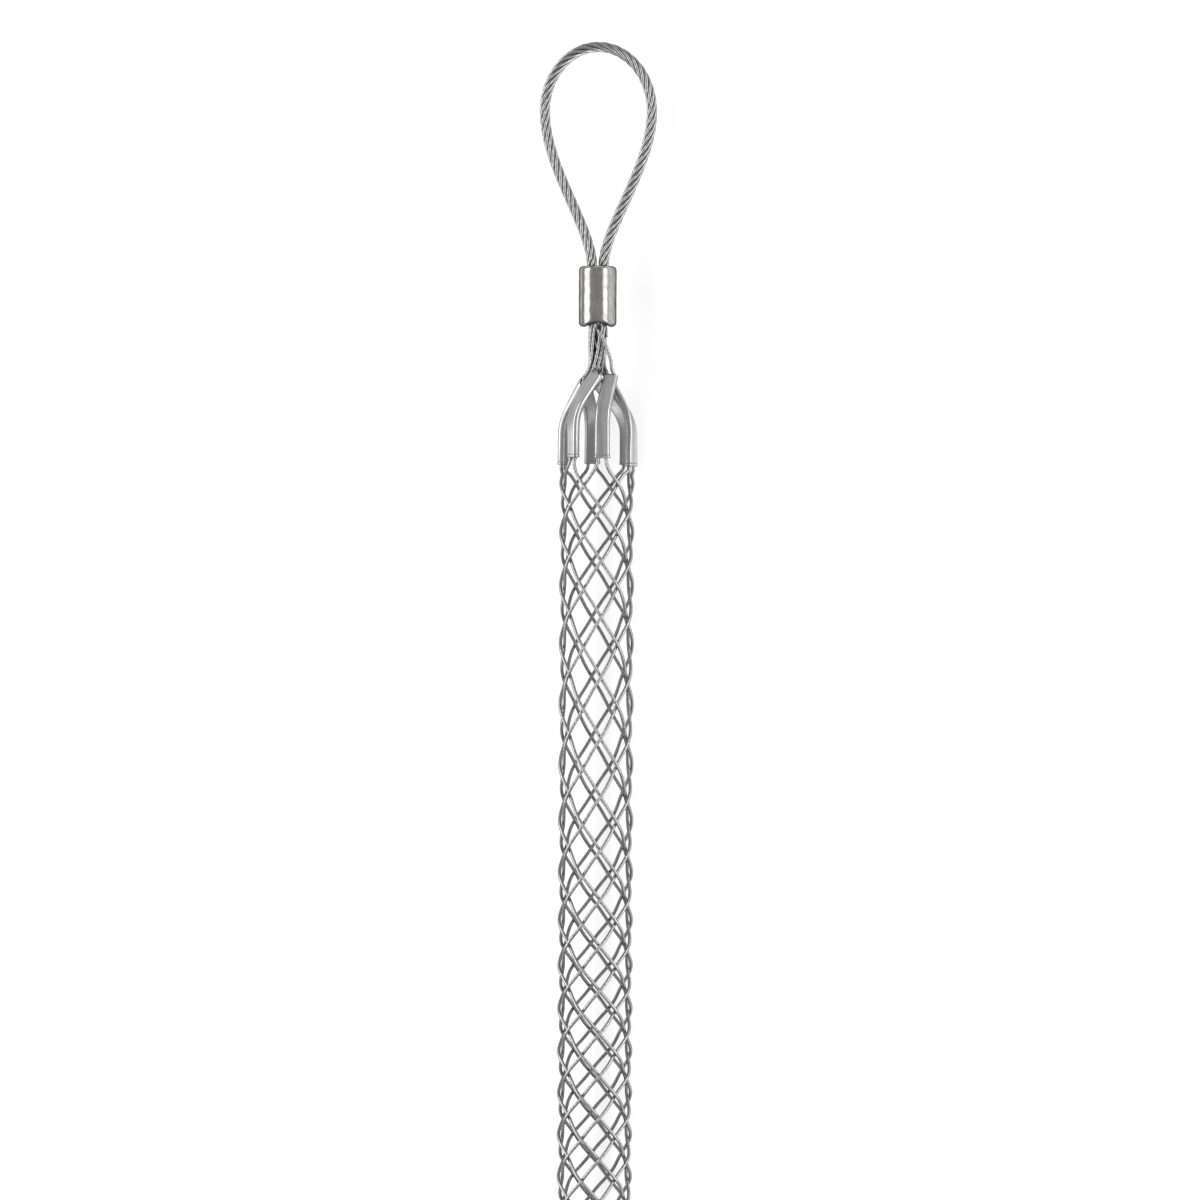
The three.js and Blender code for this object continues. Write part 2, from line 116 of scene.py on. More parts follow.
def smoothstep(share: Array) -> Array:
    """Return 3 s^2 - 2 s^3 of a share held between 0 and 1."""
    s = np.clip(share, 0.0, 1.0)
    return s * s * (3.0 - 2.0 * s)


def run_of(points: Array) -> Array:
    """Return each point's distance along the line that joins them."""
    return np.concatenate([[0.0], np.cumsum(np.linalg.norm(np.diff(points, axis=0), axis=1))])


def resampled(rows: Array, run: Array, count: int) -> Array:
    """Return rows of values, known at places along a run, at a count of even distances."""
    even = np.linspace(0.0, run[-1], count)
    return np.stack([np.interp(even, run, column) for column in rows.T], axis=1)


@dataclass
class Route:
    """A line through points, with the direction that a section's x axis faces at each of them."""

    points: Array
    outs: Array

    @staticmethod
    def joined(routes: list["Route"]) -> "Route":
        """Return one route that runs through several in turn."""
        return Route(np.vstack([r.points for r in routes]), np.vstack([r.outs for r in routes]))

    def reversed(self) -> "Route":
        """Return the same route run from its far end."""
        return Route(self.points[::-1], self.outs[::-1])

    def smoothed(self, step: float, finer: float = 3.0) -> "Route":
        """Run a smooth curve through the points and sample it at even distances.

        Each stretch is a cubic Hermite curve over its chord length. The slope at a point is that of the
        parabola through it and its two neighbours.

        Args:
            step: Distance between samples, in millimetres.
            finer: How many times finer the curve is measured than it is sampled.

        Returns:
            The sampled route.
        """
        steps = np.diff(self.points, axis=0)
        chords = np.linalg.norm(steps, axis=1)
        rise, knots = steps / chords[:, None], run_of(self.points)
        before, after = chords[:-1, None], chords[1:, None]
        inner = (after * rise[:-1] + before * rise[1:]) / (before + after)
        slopes = np.vstack([rise[:1], inner, rise[-1:]])
        fine = np.linspace(0.0, knots[-1], int(knots[-1] / (step / finer)))
        k = np.clip(np.searchsorted(knots, fine, side="right") - 1, 0, len(chords) - 1)
        width = chords[k][:, None]
        t = (fine - knots[k])[:, None] / width
        points = (
            (2 * t**3 - 3 * t**2 + 1) * self.points[k]
            + (t**3 - 2 * t**2 + t) * width * slopes[k]
            + (3 * t**2 - 2 * t**3) * self.points[k + 1]
            + (t**3 - t**2) * width * slopes[k + 1]
        )
        outs = (1 - t) * self.outs[k] + t * self.outs[k + 1]
        run = run_of(points)
        sampled = resampled(np.hstack([points, outs]), run, int(round(run[-1] / step)) + 1)
        return Route(sampled[:, :3], sampled[:, 3:])

    def frames(self) -> tuple[Array, Array, Array]:
        """Work out tangents, normals and binormals.

        The tangent is the central difference of the points, the normal is the facing direction with its
        share along the tangent taken out, and the binormal is their cross product.

        Returns:
            The three directions at each point.
        """
        tangents = unit(np.gradient(self.points, axis=0))
        along = np.sum(self.outs * tangents, axis=-1, keepdims=True)
        normals = unit(self.outs - along * tangents)
        return tangents, normals, np.cross(tangents, normals)


@dataclass
class Surface:
    """Vertices, faces and the values that a material reads.

    Args:
        points: Vertex places in millimetres round the grip's axis.
        quads: Rows of four vertex numbers.
        skin: For each vertex, its place in the unrolled piece: across the section and along the piece.
        painted_shade: For each vertex, its share of painted shade, from 0 to 1, which the finish also makes
            rougher.
        triangles: Rows of three vertex numbers.
    """

    points: Array
    quads: Faces
    skin: Array
    painted_shade: Array
    triangles: Faces = field(default_factory=lambda: np.zeros((0, 3), np.int32))

    def to_object(self, name: str, frame: "GripFrame", material: bpy.types.Material) -> bpy.types.Object:
        """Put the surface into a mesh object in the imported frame.

        Args:
            name: Name of the piece.
            frame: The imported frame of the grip.
            material: Its finish.

        Returns:
            The new object, at the origin and unturned.
        """
        mesh = bpy.data.meshes.new(name)
        mesh.vertices.add(len(self.points))
        mesh.vertices.foreach_set("co", frame.packed(self.points).ravel())
        corners = np.concatenate([self.quads.ravel(), self.triangles.ravel()])
        sizes = np.repeat([4, 3], [len(self.quads), len(self.triangles)])
        mesh.loops.add(len(corners))
        mesh.loops.foreach_set("vertex_index", corners.astype(np.int32))
        mesh.polygons.add(len(sizes))
        mesh.polygons.foreach_set("loop_start", (np.cumsum(sizes) - sizes).astype(np.int32))
        mesh.update(calc_edges=True)
        mesh.shade_smooth()
        skin = mesh.attributes.new("skin", "FLOAT_VECTOR", "POINT")
        skin.data.foreach_set("vector", self.skin.ravel() * MM)
        # This attribute carries each vertex's share of painted shade.
        painted_shade = mesh.attributes.new("painted_shade", "FLOAT", "POINT")
        painted_shade.data.foreach_set("value", self.painted_shade)
        mesh.materials.append(material)
        piece = bpy.data.objects.new(name, mesh)
        bpy.context.scene.collection.objects.link(piece)
        return piece


def grid_quads(rows: int, columns: int, closed: bool) -> Faces:
    """Work out the quads of a grid whose rows are rings.

    Vertex number is row times columns plus column, and the last column always joins the first.

    Args:
        rows: Number of rings.
        columns: Vertices in a ring.
        closed: Whether the last row joins the first.

    Returns:
        Rows of four vertex numbers.
    """
    last = rows if closed else rows - 1
    row, column = np.meshgrid(np.arange(last), np.arange(columns), indexing="ij")
    up, right = (row + 1) % rows, (column + 1) % columns
    corners = [row * columns + column, row * columns + right, up * columns + right, up * columns + column]
    return np.stack([c.ravel() for c in corners], axis=1).astype(np.int32)


# Sizes shared by the pieces


@dataclass(frozen=True)
class StrandSize:
    """One wire strand: six wires laid left-handed round a seventh."""

    diameter: float = 1.27
    wires: int = 6
    lay: float = 9.5
    relief: float = 0.1
    points_per_wire: int = 4
    steps_per_lay: int = 20

    @property
    def radius(self) -> float:
        """Return half the strand's diameter."""
        return self.diameter / 2


@dataclass(frozen=True)
class GripLayout:
    """Heights and counts that the sub-assemblies share, in millimetres above the tube mouths."""

    strand: StrandSize = field(default_factory=StrandSize)
    tubes: int = 6
    first_column: float = -90.0
    tube_rise: float = 31.0
    neck_length: float = 19.5
    ferrule_length: float = 22.6
    eye_tilt: float = 22.3
    rope_radius: float = 1.34
    leg_offset: float = 2.179
    seat_step: float = 30.0
    ring_radius: float = 2.824
    mesh_radius: float = 12.8
    tube_standoff: float = 1.0

    @property
    def ferrule_base(self) -> float:
        """Return the height of the ferrule's lower end."""
        return self.tube_rise + self.neck_length

    @property
    def ferrule_top(self) -> float:
        """Return the height of the ferrule's upper end."""
        return self.ferrule_base + self.ferrule_length

    @property
    def tube_radius(self) -> float:
        """Return the distance of the tube mouths' centres from the axis."""
        return self.mesh_radius + self.tube_standoff

    @property
    def column_step(self) -> float:
        """Return the angle between neighbouring columns of the mesh."""
        return 360.0 / self.tubes

    def column(self, tube: int) -> float:
        """Return a tube's angle round the axis."""
        return self.first_column + self.column_step * tube

    def in_eye_frame(self, right: Array | float, front: Array | float, height: Array | float) -> Array:
        """Turn places in the eye's own directions into points.

        Args:
            right: Across the eye's plane.
            front: In front of it.
            height: Along the grip.

        Returns:
            The points.
        """
        across = outward(self.eye_tilt + 90.0) * np.asarray(right, float)[..., None]
        points = across + outward(self.eye_tilt) * np.asarray(front, float)[..., None]
        points[..., 1] = height
        return points


@dataclass(frozen=True)
class GripFrame:
    """Where the grip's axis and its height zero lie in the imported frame, in metres."""

    origin: Array

    @staticmethod
    def from_ferrule(layout: GripLayout) -> "GripFrame":
        """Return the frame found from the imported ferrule, which is round about the axis."""
        low, high = (np.array(corner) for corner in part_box("swage_ferrule"))
        middle = (low + high) / 2
        return GripFrame(np.array([middle[0], high[1] - layout.ferrule_top * MM, middle[2]]))

    def packed(self, points: Array) -> Array:
        """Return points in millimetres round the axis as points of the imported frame."""
        return points * MM + self.origin


# Routes of the strands


@dataclass(frozen=True)
class EyeRope:
    """The laid rope of the eye."""

    layout: GripLayout
    half_width: float = 20.0
    crown: float = 24.2
    leg: float = 57.7
    waist_pull: float = 20.5
    leg_pull: float = 14.4
    lay_turns: int = 8
    samples_per_turn: int = 24
    curve_samples: int = 400
    hex_start: float = 30.0
    hex_step: float = 60.0

    def line(self) -> tuple[Array, Array, Array]:
        """Sample the drop-shaped centre line at even distances.

        The left leg is a cubic Bezier curve from the ferrule up to the widest place, the crown is half an
        ellipse, and the right leg mirrors the left.

        Returns:
            Points, unit directions as (across, height), and the lay's turn in degrees at each point.
        """
        foot, waist = self.layout.ferrule_top, self.layout.ferrule_top + self.leg
        t = np.linspace(0.0, 1.0, self.curve_samples)[:, None]
        corners = [
            (-self.layout.leg_offset, foot),
            (-self.layout.leg_offset, foot + self.leg_pull),
            (-self.half_width, waist - self.waist_pull),
            (-self.half_width, waist),
        ]
        weights = [(1 - t) ** 3, 3 * t * (1 - t) ** 2, 3 * t**2 * (1 - t), t**3]
        left = sum(w * np.array(c) for w, c in zip(weights, corners, strict=True))
        turn = np.pi * (1 - t[1:-1, 0])
        crown = np.stack([self.half_width * np.cos(turn), waist + self.crown * np.sin(turn)], axis=1)
        path = np.vstack([left, crown, left[::-1] * [-1.0, 1.0]])
        count = self.lay_turns * self.samples_per_turn + 1
        centre = resampled(path, run_of(path), count)
        points = self.layout.in_eye_frame(centre[:, 0], 0.0 * centre[:, 0], centre[:, 1])
        return points, unit(np.gradient(centre, axis=0)), np.linspace(0.0, 360.0 * self.lay_turns, count)

    def strand(self, number: int) -> Route:
        """Lay one strand right-handed round the eye's line.

        Its centre goes round the line at the rope's pitch radius. The phase starts at 30 degrees and each
        strand is 60 degrees on, measured from the loop's outside towards its front, and the phase gains a
        full turn for each turn of lay.

        Args:
            number: 0 to 5.

        Returns:
            The strand's stretch from the left leg's foot to the right leg's.
        """
        points, along, turns = self.line()
        away = self.layout.in_eye_frame(-along[:, 1], 0.0 * turns, along[:, 0])
        phase = np.radians(self.hex_start + self.hex_step * number + turns)[:, None]
        outs = away * np.cos(phase) + outward(self.layout.eye_tilt) * np.sin(phase)
        return Route(points + self.layout.rope_radius * outs, outs)


@dataclass(frozen=True)
class TubeSize:
    """An equalizer tube pressed flat on two strands, with what sets each tube apart."""

    width: float = 5.9
    side: float = 1.05
    taper: float = 0.92
    wall: float = 0.6
    play: float = 0.16
    knee: float = 17.4
    knee_reach: float = 5.5
    top_radius: float = 6.1
    twist: float = 50.0
    face_turns: tuple[float, ...] = (17.0, 22.0, -19.0, 27.0, 17.0, 17.0)
    face_strays: tuple[float, ...] = (0.0, -9.0, -2.0, -10.0, 0.0, 0.0)
    slips: tuple[float, ...] = (1.1, -1.4, -1.1, 1.8, 0.9, 0.5)
    strays: tuple[float, ...] = (0.0, 11.2, 0.0, 0.0, 0.0, 0.0)
    draw_ins: tuple[float, ...] = (0.07, 0.42, 0.07, 0.07, 0.07, 0.07)
    lip_length: float = 1.0
    lip_girth: float = 1.04
    lip_stations: int = 14
    crease_girth: float = 0.975
    crease_length: float = 0.35
    crease_place: float = 0.6
    crease_shade: float = 0.8
    stations: int = 44
    station_step: float = 0.7
    strand_start: float = 3.0
    strand_stations: int = 16

    def thickness(self, strand: StrandSize) -> float:
        """Return the outside thickness over one strand, its play and two walls."""
        return strand.diameter + 2 * (self.play + self.wall)

    def side_room(self, strand: StrandSize, broad: Array | float) -> Array | float:
        """Return how far a strand lies to the side of the tube's centre line."""
        return (self.width / 2 - self.wall) * broad - self.play - strand.radius


@dataclass(frozen=True)
class EqualizerTubes:
    """The six tubes and the strands inside them."""

    layout: GripLayout
    size: TubeSize = field(default_factory=TubeSize)

    def broad(self, above: Array) -> Array:
        """Return the width at a height above the tube's mouth over the width at the mouth."""
        return 1.0 + (self.size.taper - 1.0) * above / self.layout.tube_rise

    def centre_line(self, tube: int, above: Array) -> Route:
        """Run a tube's centre line.

        It goes straight up to the knee and straight on to the top, which is turned round the axis and
        closer to it. The two straights meet in a parabola over the reach of the knee. The flat face turns
        with the upper straight.

        Args:
            tube: 0 to 5.
            above: Rising heights above the tube's own mouth, from 0.

        Returns:
            The centre line.
        """
        size, column, slip = self.size, self.layout.column(tube), self.size.slips[tube]
        radius = self.layout.tube_radius - size.draw_ins[tube]
        knee = place(column + size.strays[tube], radius, size.knee - slip)
        top = place(column + size.twist, size.top_radius, self.layout.tube_rise - slip)
        rise, reach = self.layout.tube_rise - size.knee, size.knee_reach
        past = above - size.knee
        eased = (np.clip(past, -reach, reach) + reach) ** 2 / (4 * reach)
        lean = (eased + np.maximum(past - reach, 0.0)) / rise
        points = knee + (top - knee) * lean[:, None]
        points[:, 1] = above - slip
        turned = smoothstep((1 + past / rise) / 2)
        return Route(points, outward(self.mouth_facing(tube) + size.face_turns[tube] * turned))

    def mouth_facing(self, tube: int) -> float:
        """Return the angle that a tube's flat face has at its mouth."""
        return self.layout.column(tube) + self.size.face_strays[tube]

    def strand(self, tube: int, side: Side) -> Route:
        """Run one strand's stretch through a tube, beside its centre line.

        Args:
            tube: 0 to 5.
            side: The side of the tube that it lies on.

        Returns:
            The stretch from the tube's top down to its mouth.
        """
        size = self.size
        rising = np.linspace(size.strand_start, self.layout.tube_rise, size.strand_stations)
        above = np.concatenate([[0.0], rising])
        centre = self.centre_line(tube, above)
        _, _, across = centre.frames()
        room = size.side_room(self.layout.strand, self.broad(above))[:, None]
        return Route(centre.points + side.value * room * across, centre.outs).reversed()


@dataclass(frozen=True)
class Neck:
    """The bundle of twelve strand ends between the ferrule and the tubes."""

    layout: GripLayout
    tubes: EqualizerTubes
    slot_depth: float = 8.0
    gather: float = 14.5
    squeeze: float = 0.915
    bulge: float = 0.07
    core_stub: float = 3.7
    stub_reach: float = 3.75
    stub_step: float = 0.2
    ring_above: float = 2.5
    bundle_start: float = 2.0
    ease: float = 0.1
    flares: tuple[tuple[float, float], ...] = ((0.4, 0.25), (0.7, 0.6))
    loose_tube: int = 2
    loose_route: tuple[tuple[float, float, float], ...] = (
        (1.8, 4.1, 8.0),
        (4.5, 4.8, 25.0),
        (8.7, 5.8, 39.0),
        (12.9, 6.9, 46.5),
        (16.4, 6.9, 53.0),
    )

    def seat_angle(self, seat: int) -> float:
        """Return a seat's angle from the eye's front towards its right."""
        return self.layout.seat_step * (seat + 0.5)

    def squeezed_angle(self, seat: int) -> float:
        """Return the same seat where the ring closes up beside the core's gap on the right."""
        gap = 90.0
        from_core = wrapped(self.seat_angle(seat) - gap)
        return gap + np.sign(from_core) * (180.0 - (180.0 - abs(from_core)) * self.squeeze)

    def seat_of(self, strand: int, side: Side, rope: EyeRope) -> int:
        """Return the seat of a strand end: half its angle from its leg's outer side, on its leg's half."""
        angle = wrapped(rope.hex_start + rope.hex_step * strand)
        on_ring = 90.0 - angle / 2 if side is Side.RIGHT else 270.0 + angle / 2
        seat = round((on_ring - self.layout.seat_step / 2) / self.layout.seat_step)
        return seat % (2 * self.layout.tubes)

    def holders(self) -> list[tuple[int, Side]]:
        """Return the tube and its side for each seat, with the crossing end moved to the first seat."""
        found = []
        for seat in range(2 * self.layout.tubes):
            side = Side.LEFT if seat % 2 else Side.RIGHT
            found.append((-(-seat // 2) % self.layout.tubes, side))
        crossing = found.pop(2 * self.loose_tube)
        return [crossing, *found]

    def strand(self, number: int, side: Side, rope: EyeRope) -> Route:
        """Run one strand end from inside the ferrule down to its tube's top.

        The hexagon of a rope leg unrolls into half of a ring of twelve seats, which twists and opens out
        towards the tubes. One end leaves its seat and stands off from the bundle.

        Args:
            number: 0 to 5.
            side: The rope leg that it comes from.
            rope: The eye's rope.

        Returns:
            The stretch.
        """
        layout, tilt, base = self.layout, self.layout.eye_tilt, self.layout.ferrule_base
        start = layout.ferrule_top - self.slot_depth
        phase = np.radians(rope.hex_start + rope.hex_step * number)
        across = side.value * (layout.leg_offset + layout.rope_radius * np.cos(phase))
        front = layout.rope_radius * np.sin(phase)
        seat = self.seat_of(number, side, rope)
        tube, tube_side = self.holders()[seat]
        squeezed = tilt + self.squeezed_angle(seat)
        points = [layout.in_eye_frame(across, front, start)]
        outs = [layout.in_eye_frame(side.value * np.cos(phase), np.sin(phase), 0.0)]
        ring = place(squeezed, layout.ring_radius, 0.0)
        for share in (1 / 3, 2 / 3, 1.0):
            at = (1 - share) * layout.in_eye_frame(across, front, 0.0) + share * ring
            at *= 1 + self.bulge * np.sin(np.pi * share)
            outs.append(unit(at))
            at[1] = (1 - share) * start + share * (base + self.ring_above)
            points.append(at)
        bends = [(0.0, layout.ring_radius, squeezed)]
        if tube == self.loose_tube and tube_side is Side.RIGHT:
            bends += [(drop, radius, tilt + angle) for drop, radius, angle in self.loose_route]
        else:
            bends += self.flare(seat, tube, tube_side)
        for drop, radius, angle in bends:
            points.append(place(angle, radius, base - drop))
            outs.append(outward(angle))
        return Route(np.array(points), np.array(outs))

    def flare(self, seat: int, tube: int, side: Side) -> list[tuple[float, float, float]]:
        """Work out the bundle's stations from the ferrule to a tube's top.

        The bundle twists evenly towards the tube's column, and spreads below the height where it is
        gathered.

        Args:
            seat: The strand's seat.
            tube: Its tube.
            side: Its side of the tube.

        Returns:
            The drop below the ferrule, the distance from the axis and the angle of each station.
        """
        layout, ring, length = self.layout, self.layout.ring_radius, self.layout.neck_length
        rest = length + self.tubes.size.slips[tube] - self.gather
        spread = self.tubes.size.top_radius - ring
        aim = layout.column(tube) + self.tubes.size.twist + side.value * layout.seat_step / 2
        seated, gathered = self.seat_angle(seat), self.gather / length
        middle = (self.core_stub + self.gather) / 2
        stations = [
            (self.core_stub, self.core_stub / length, ring, self.squeezed_angle(seat)),
            (middle, middle / length, ring, seated),
            (self.gather, gathered, ring + self.ease, seated),
        ]
        for down, out in self.flares:
            turned = gathered + (1 - gathered) * down
            stations.append((self.gather + down * rest, turned, ring + out * spread, seated))
        tilt = layout.eye_tilt
        return [
            (drop, radius, tilt + start + wrapped(aim - tilt - start) * turned)
            for drop, turned, radius, start in stations
        ]


@dataclass(frozen=True)
class WireMesh:
    """The woven tube of crossings and the tails below it."""

    layout: GripLayout
    tubes: EqualizerTubes
    rows: int = 32
    row_pitch: float = 7.77
    row_stretch: float = 3.62
    stretch_at: float = 85.2
    stretch_span: float = 71.0
    weave_play: float = 0.17
    sleeve_length: float = 12.0
    sleeve_stations: int = 14
    tail_end: float = 1.5
    lead: float = 0.8
    first_row: float = 0.6
    samples_per_row: int = 8

    def heights(self) -> Array:
        """Return the height of each row of crossings, the pitch drawn out by a bell curve."""
        found = [0.0]
        for _ in range(self.rows):
            middle = found[-1] - self.row_pitch / 2
            drawn = self.row_stretch * np.exp(-(((middle + self.stretch_at) / self.stretch_span) ** 2))
            found.append(found[-1] - self.row_pitch - drawn)
        return np.array(found)

    def strand(self, tube: int, side: Side) -> Route:
        """Weave one strand end from its tube to its tail.

        At row r its angle is the column's plus half a column step for each row, and its distance from the
        axis swings by the cosine of pi r, so that it lies outside in every other row. The first and last
        points are held beside the middle of the tube and of the sleeve.

        Args:
            tube: 0 to 5.
            side: The side of the tube that it leaves from.

        Returns:
            The stretch.
        """
        layout, way = self.layout, side.value
        column, half = layout.column(tube), layout.column_step / 2
        hang = column + self.tubes.size.strays[tube]
        room = self.tubes.size.side_room(layout.strand, 1.0)
        mouth = place(hang, layout.tube_radius, -self.tubes.size.slips[tube] - self.lead)
        mouth += way * room * outward(self.tubes.mouth_facing(tube) + 90.0)
        depth = (layout.strand.diameter + self.weave_play) / 2
        samples = int((self.rows - 2 * self.first_row) * self.samples_per_row)
        row = np.linspace(self.first_row, self.rows - self.first_row, samples)
        heights = np.interp(row, np.arange(self.rows + 1), self.heights())
        angles = column + way * half * row
        radii = layout.mesh_radius - way * depth * np.cos(np.pi * row)
        parting = np.degrees(np.arctan2(room, layout.tube_radius))
        tail, last = self.heights()[-1], column + way * (half * self.rows - parting)
        ends = [tail + self.lead, tail - self.sleeve_length / 2, tail - self.sleeve_length - self.tail_end]
        held = np.full(len(ends), last)
        tails = place(held, np.full(len(ends), np.hypot(room, layout.tube_radius)), np.array(ends))
        points = np.vstack([mouth, place(angles, radii, heights), tails])
        return Route(points, np.vstack([outward(hang), outward(angles), outward(held)]))


# Pieces


@dataclass(frozen=True)
class WireStrand:
    """Sweeps the laid wires of a strand along a route."""

    size: StrandSize
    bundled_from: float = np.inf
    bundle_fade: float = 6.0
    # Painted shade on the strand's side turned away from its facing direction, and where it begins and fades.
    flank_shade: float = 0.65
    shade_edge: float = 0.6
    shade_fade: float = 0.9
    groove_shade: float = 0.16

    def outline(self) -> tuple[Array, Array, Array]:
        """Work out the strand's section.

        It is the outline of six equal circles that touch each other round the middle. At an angle a from
        a wire's crest, the distance from the middle is c cos a + sqrt(p^2 - c^2 sin^2 a), where c is a
        third of the strand's diameter and p, a wire's radius, is a sixth of it. Drawing and zinc have
        filled the grooves, so only a share of their depth is kept.

        Returns:
            Angles, distances, and the share of painted shade between the wires, 1 midway between two wires to
            0 on a crest.
        """
        size = self.size
        count = size.wires * size.points_per_wire
        angles = np.arange(count) * 2 * np.pi / count
        from_crest = (angles * size.wires / (2 * np.pi) + 0.5) % 1.0 - 0.5
        a = from_crest * 2 * np.pi / size.wires
        centre, wire = size.diameter / 3, size.diameter / 6
        inner = np.maximum(wire**2 - (centre * np.sin(a)) ** 2, 0.0)
        round_wires = centre * np.cos(a) + np.sqrt(inner)
        distances = size.radius - size.relief * (size.radius - round_wires)
        return angles, distances, (2 * np.abs(from_crest)) ** 2

    def surface(self, route: Route) -> Surface:
        """Carry the section along the route.

        Ring i stands across the route's tangent, turned left-handed by a full turn for each length of lay.
        A fan of triangles closes each end. The side turned away from the facing direction gets painted shade,
        in part, and wholly above the height where the strands lie in a bundle, and the wire grooves get a
        share of it.

        Args:
            route: The strand's controls, smoothed here.

        Returns:
            The closed surface.
        """
        size = self.size
        line = route.smoothed(size.lay / size.steps_per_lay)
        run = run_of(line.points)[:, None]
        angles, distances, painted_shade = self.outline()
        _, normals, across = line.frames()
        turned = angles - 2 * np.pi * run / size.lay
        x, y = distances * np.cos(turned), distances * np.sin(turned)
        rings = line.points[:, None] + x[..., None] * normals[:, None] + y[..., None] * across[:, None]
        laid = (distances * np.cos(angles), distances * np.sin(angles), run)
        skin = np.stack(np.broadcast_arrays(*laid), axis=-1)
        bundled = smoothstep((line.points[:, 1:2] - self.bundled_from) / self.bundle_fade)
        # Painted shade on the side turned away from the facing direction, full where the strands are bundled.
        turned_away_shade = smoothstep((self.shade_edge - np.cos(turned)) / self.shade_fade)
        turned_away_shade = turned_away_shade * (self.flank_shade * (1 - bundled) + bundled)
        rows, columns = x.shape
        around = np.arange(columns)
        following = (around + 1) % columns
        near, far, last = rows * columns, rows * columns + 1, (rows - 1) * columns
        start = np.stack([np.full(columns, near), following, around], axis=1)
        end = np.stack([np.full(columns, far), last + around, last + following], axis=1)
        caps = np.array([[0.0, 0.0, run[0, 0]], [0.0, 0.0, run[-1, 0]]])
        return Surface(
            points=np.vstack([rings.reshape(-1, 3), line.points[:1], line.points[-1:]]),
            quads=grid_quads(rows, columns, closed=False),
            skin=np.vstack([skin.reshape(-1, 3), caps]),
            painted_shade=np.append(np.maximum(turned_away_shade, self.groove_shade * painted_shade), [1.0, 1.0]),
            triangles=np.vstack([start, end]).astype(np.int32),
        )


@dataclass(frozen=True)
class FlatTube:
    """Sweeps a flattened tube with rounded rims along a centre line."""

    width: float
    thickness: float
    side: float
    wall: float
    # Painted shade on the back and on the rounded sides, and where each begins.
    back_shade: float = 0.5
    back_start: float = 0.1
    side_shade: float = 0.35
    side_start: float = 0.75
    around: int = 112
    rim_steps: int = 6

    def ring(self, inset: Array, broad: Array, girth: Array) -> tuple[Array, Array]:
        """Work out one outline for each row.

        The outline is two flats joined by half ellipses, long along the second axis. The ellipses are as
        deep as the side where the row is on the outside, and round at the bore.

        Args:
            inset: How far each row's outline lies inside the outer one.
            broad: Each row's scale along the second axis.
            girth: Each row's scale all round.

        Returns:
            The outline's places along the first and the second axis, rows by points.
        """
        radius = (self.thickness / 2 - inset)[:, None]
        bore_side = self.thickness / 2 - self.wall
        side = (self.side + (bore_side - self.side) * inset / self.wall)[:, None]
        reach = self.width / 2 - inset[:, None] - side
        arc, flat = np.pi * self.thickness / 2, 2 * self.width
        run = np.arange(self.around) / self.around * 2 * (arc + flat)
        corner = np.clip(run, 0, arc) + np.clip(run - arc - flat, 0, arc)
        angle = corner / arc * np.pi
        slide = (np.clip(run - arc, 0, flat) - np.clip(run - 2 * arc - flat, 0, flat)) / flat
        first = radius * np.cos(angle)
        second = reach * (1 - 2 * slide) + side * np.sin(angle)
        return first * girth[:, None], second * (girth * broad)[:, None]

    def surface(self, line: Route, broad: Array, girth: Array, crease: Array) -> Surface:
        """Sweep the wall's closed profile along the line.

        The rows run up the outside, round the upper rim, down the inside and round the lower rim. A rim is
        half a circle over the wall's thickness, and the end rows are drawn back by its radius. The rounded
        sides and the back, which faces the axis, get painted shade and a rougher finish.

        Args:
            line: Centre line from the mouth up.
            broad: Scale of the width at each station.
            girth: Scale all round at each station.
            crease: Share of a crease at each station, which gets painted shade.

        Returns:
            The closed surface.
        """
        stations, half = np.arange(len(line.points)), self.wall / 2
        bend = np.linspace(0.0, np.pi, self.rim_steps + 2)[1:-1]
        flat, out, rim = 0.0 * stations, half * np.sin(bend), half * (1 - np.cos(bend))
        inset = np.concatenate([flat, rim, flat + self.wall, rim[::-1]])
        past = np.concatenate([flat, out, flat, -out])
        top, mouth = np.full(len(bend), stations[-1]), np.zeros(len(bend), int)
        pick = np.concatenate([stations, top, stations[::-1], mouth])
        drawn = half * (1.0 * (pick == stations[-1]) - (pick == 0))
        tangents, normals, across = line.frames()
        first, second = self.ring(inset, broad[pick], girth[pick])
        base = line.points[pick] + (past - drawn)[:, None] * tangents[pick]
        points = base[:, None] + first[..., None] * normals[pick][:, None]
        points = points + second[..., None] * across[pick][:, None]
        run = run_of(line.points)[pick] + past
        skin = np.stack(np.broadcast_arrays(first, second, run[:, None]), axis=-1)
        # Painted shade on the back, which faces the axis, and on the rounded sides.
        back = self.back_shade * smoothstep(-2 * first / self.thickness - self.back_start)
        aside = 2 * np.abs(second) / self.width
        sides = self.side_shade * smoothstep((aside - self.side_start) / (1 - self.side_start))
        return Surface(
            points=points.reshape(-1, 3),
            quads=grid_quads(*first.shape, closed=True),
            skin=skin.reshape(-1, 3),
            painted_shade=np.maximum(np.maximum(back, sides), crease[pick][:, None]).ravel(),
        )


@dataclass(frozen=True)
class DentWave:
    """One wave of the swaging dies' unevenness, with heights in millimetres and phases in radians."""

    turns: int
    start: float
    lean: float
    along: float
    lift: float
    share: float

    def depth(self, angles: Array, height: float) -> Array:
        """Return a sine round the barrel, leant with the height, times a sine along it."""
        around = np.sin(self.turns * angles + self.start + self.lean * height)
        return self.share * around * np.sin(self.along * height + self.lift)


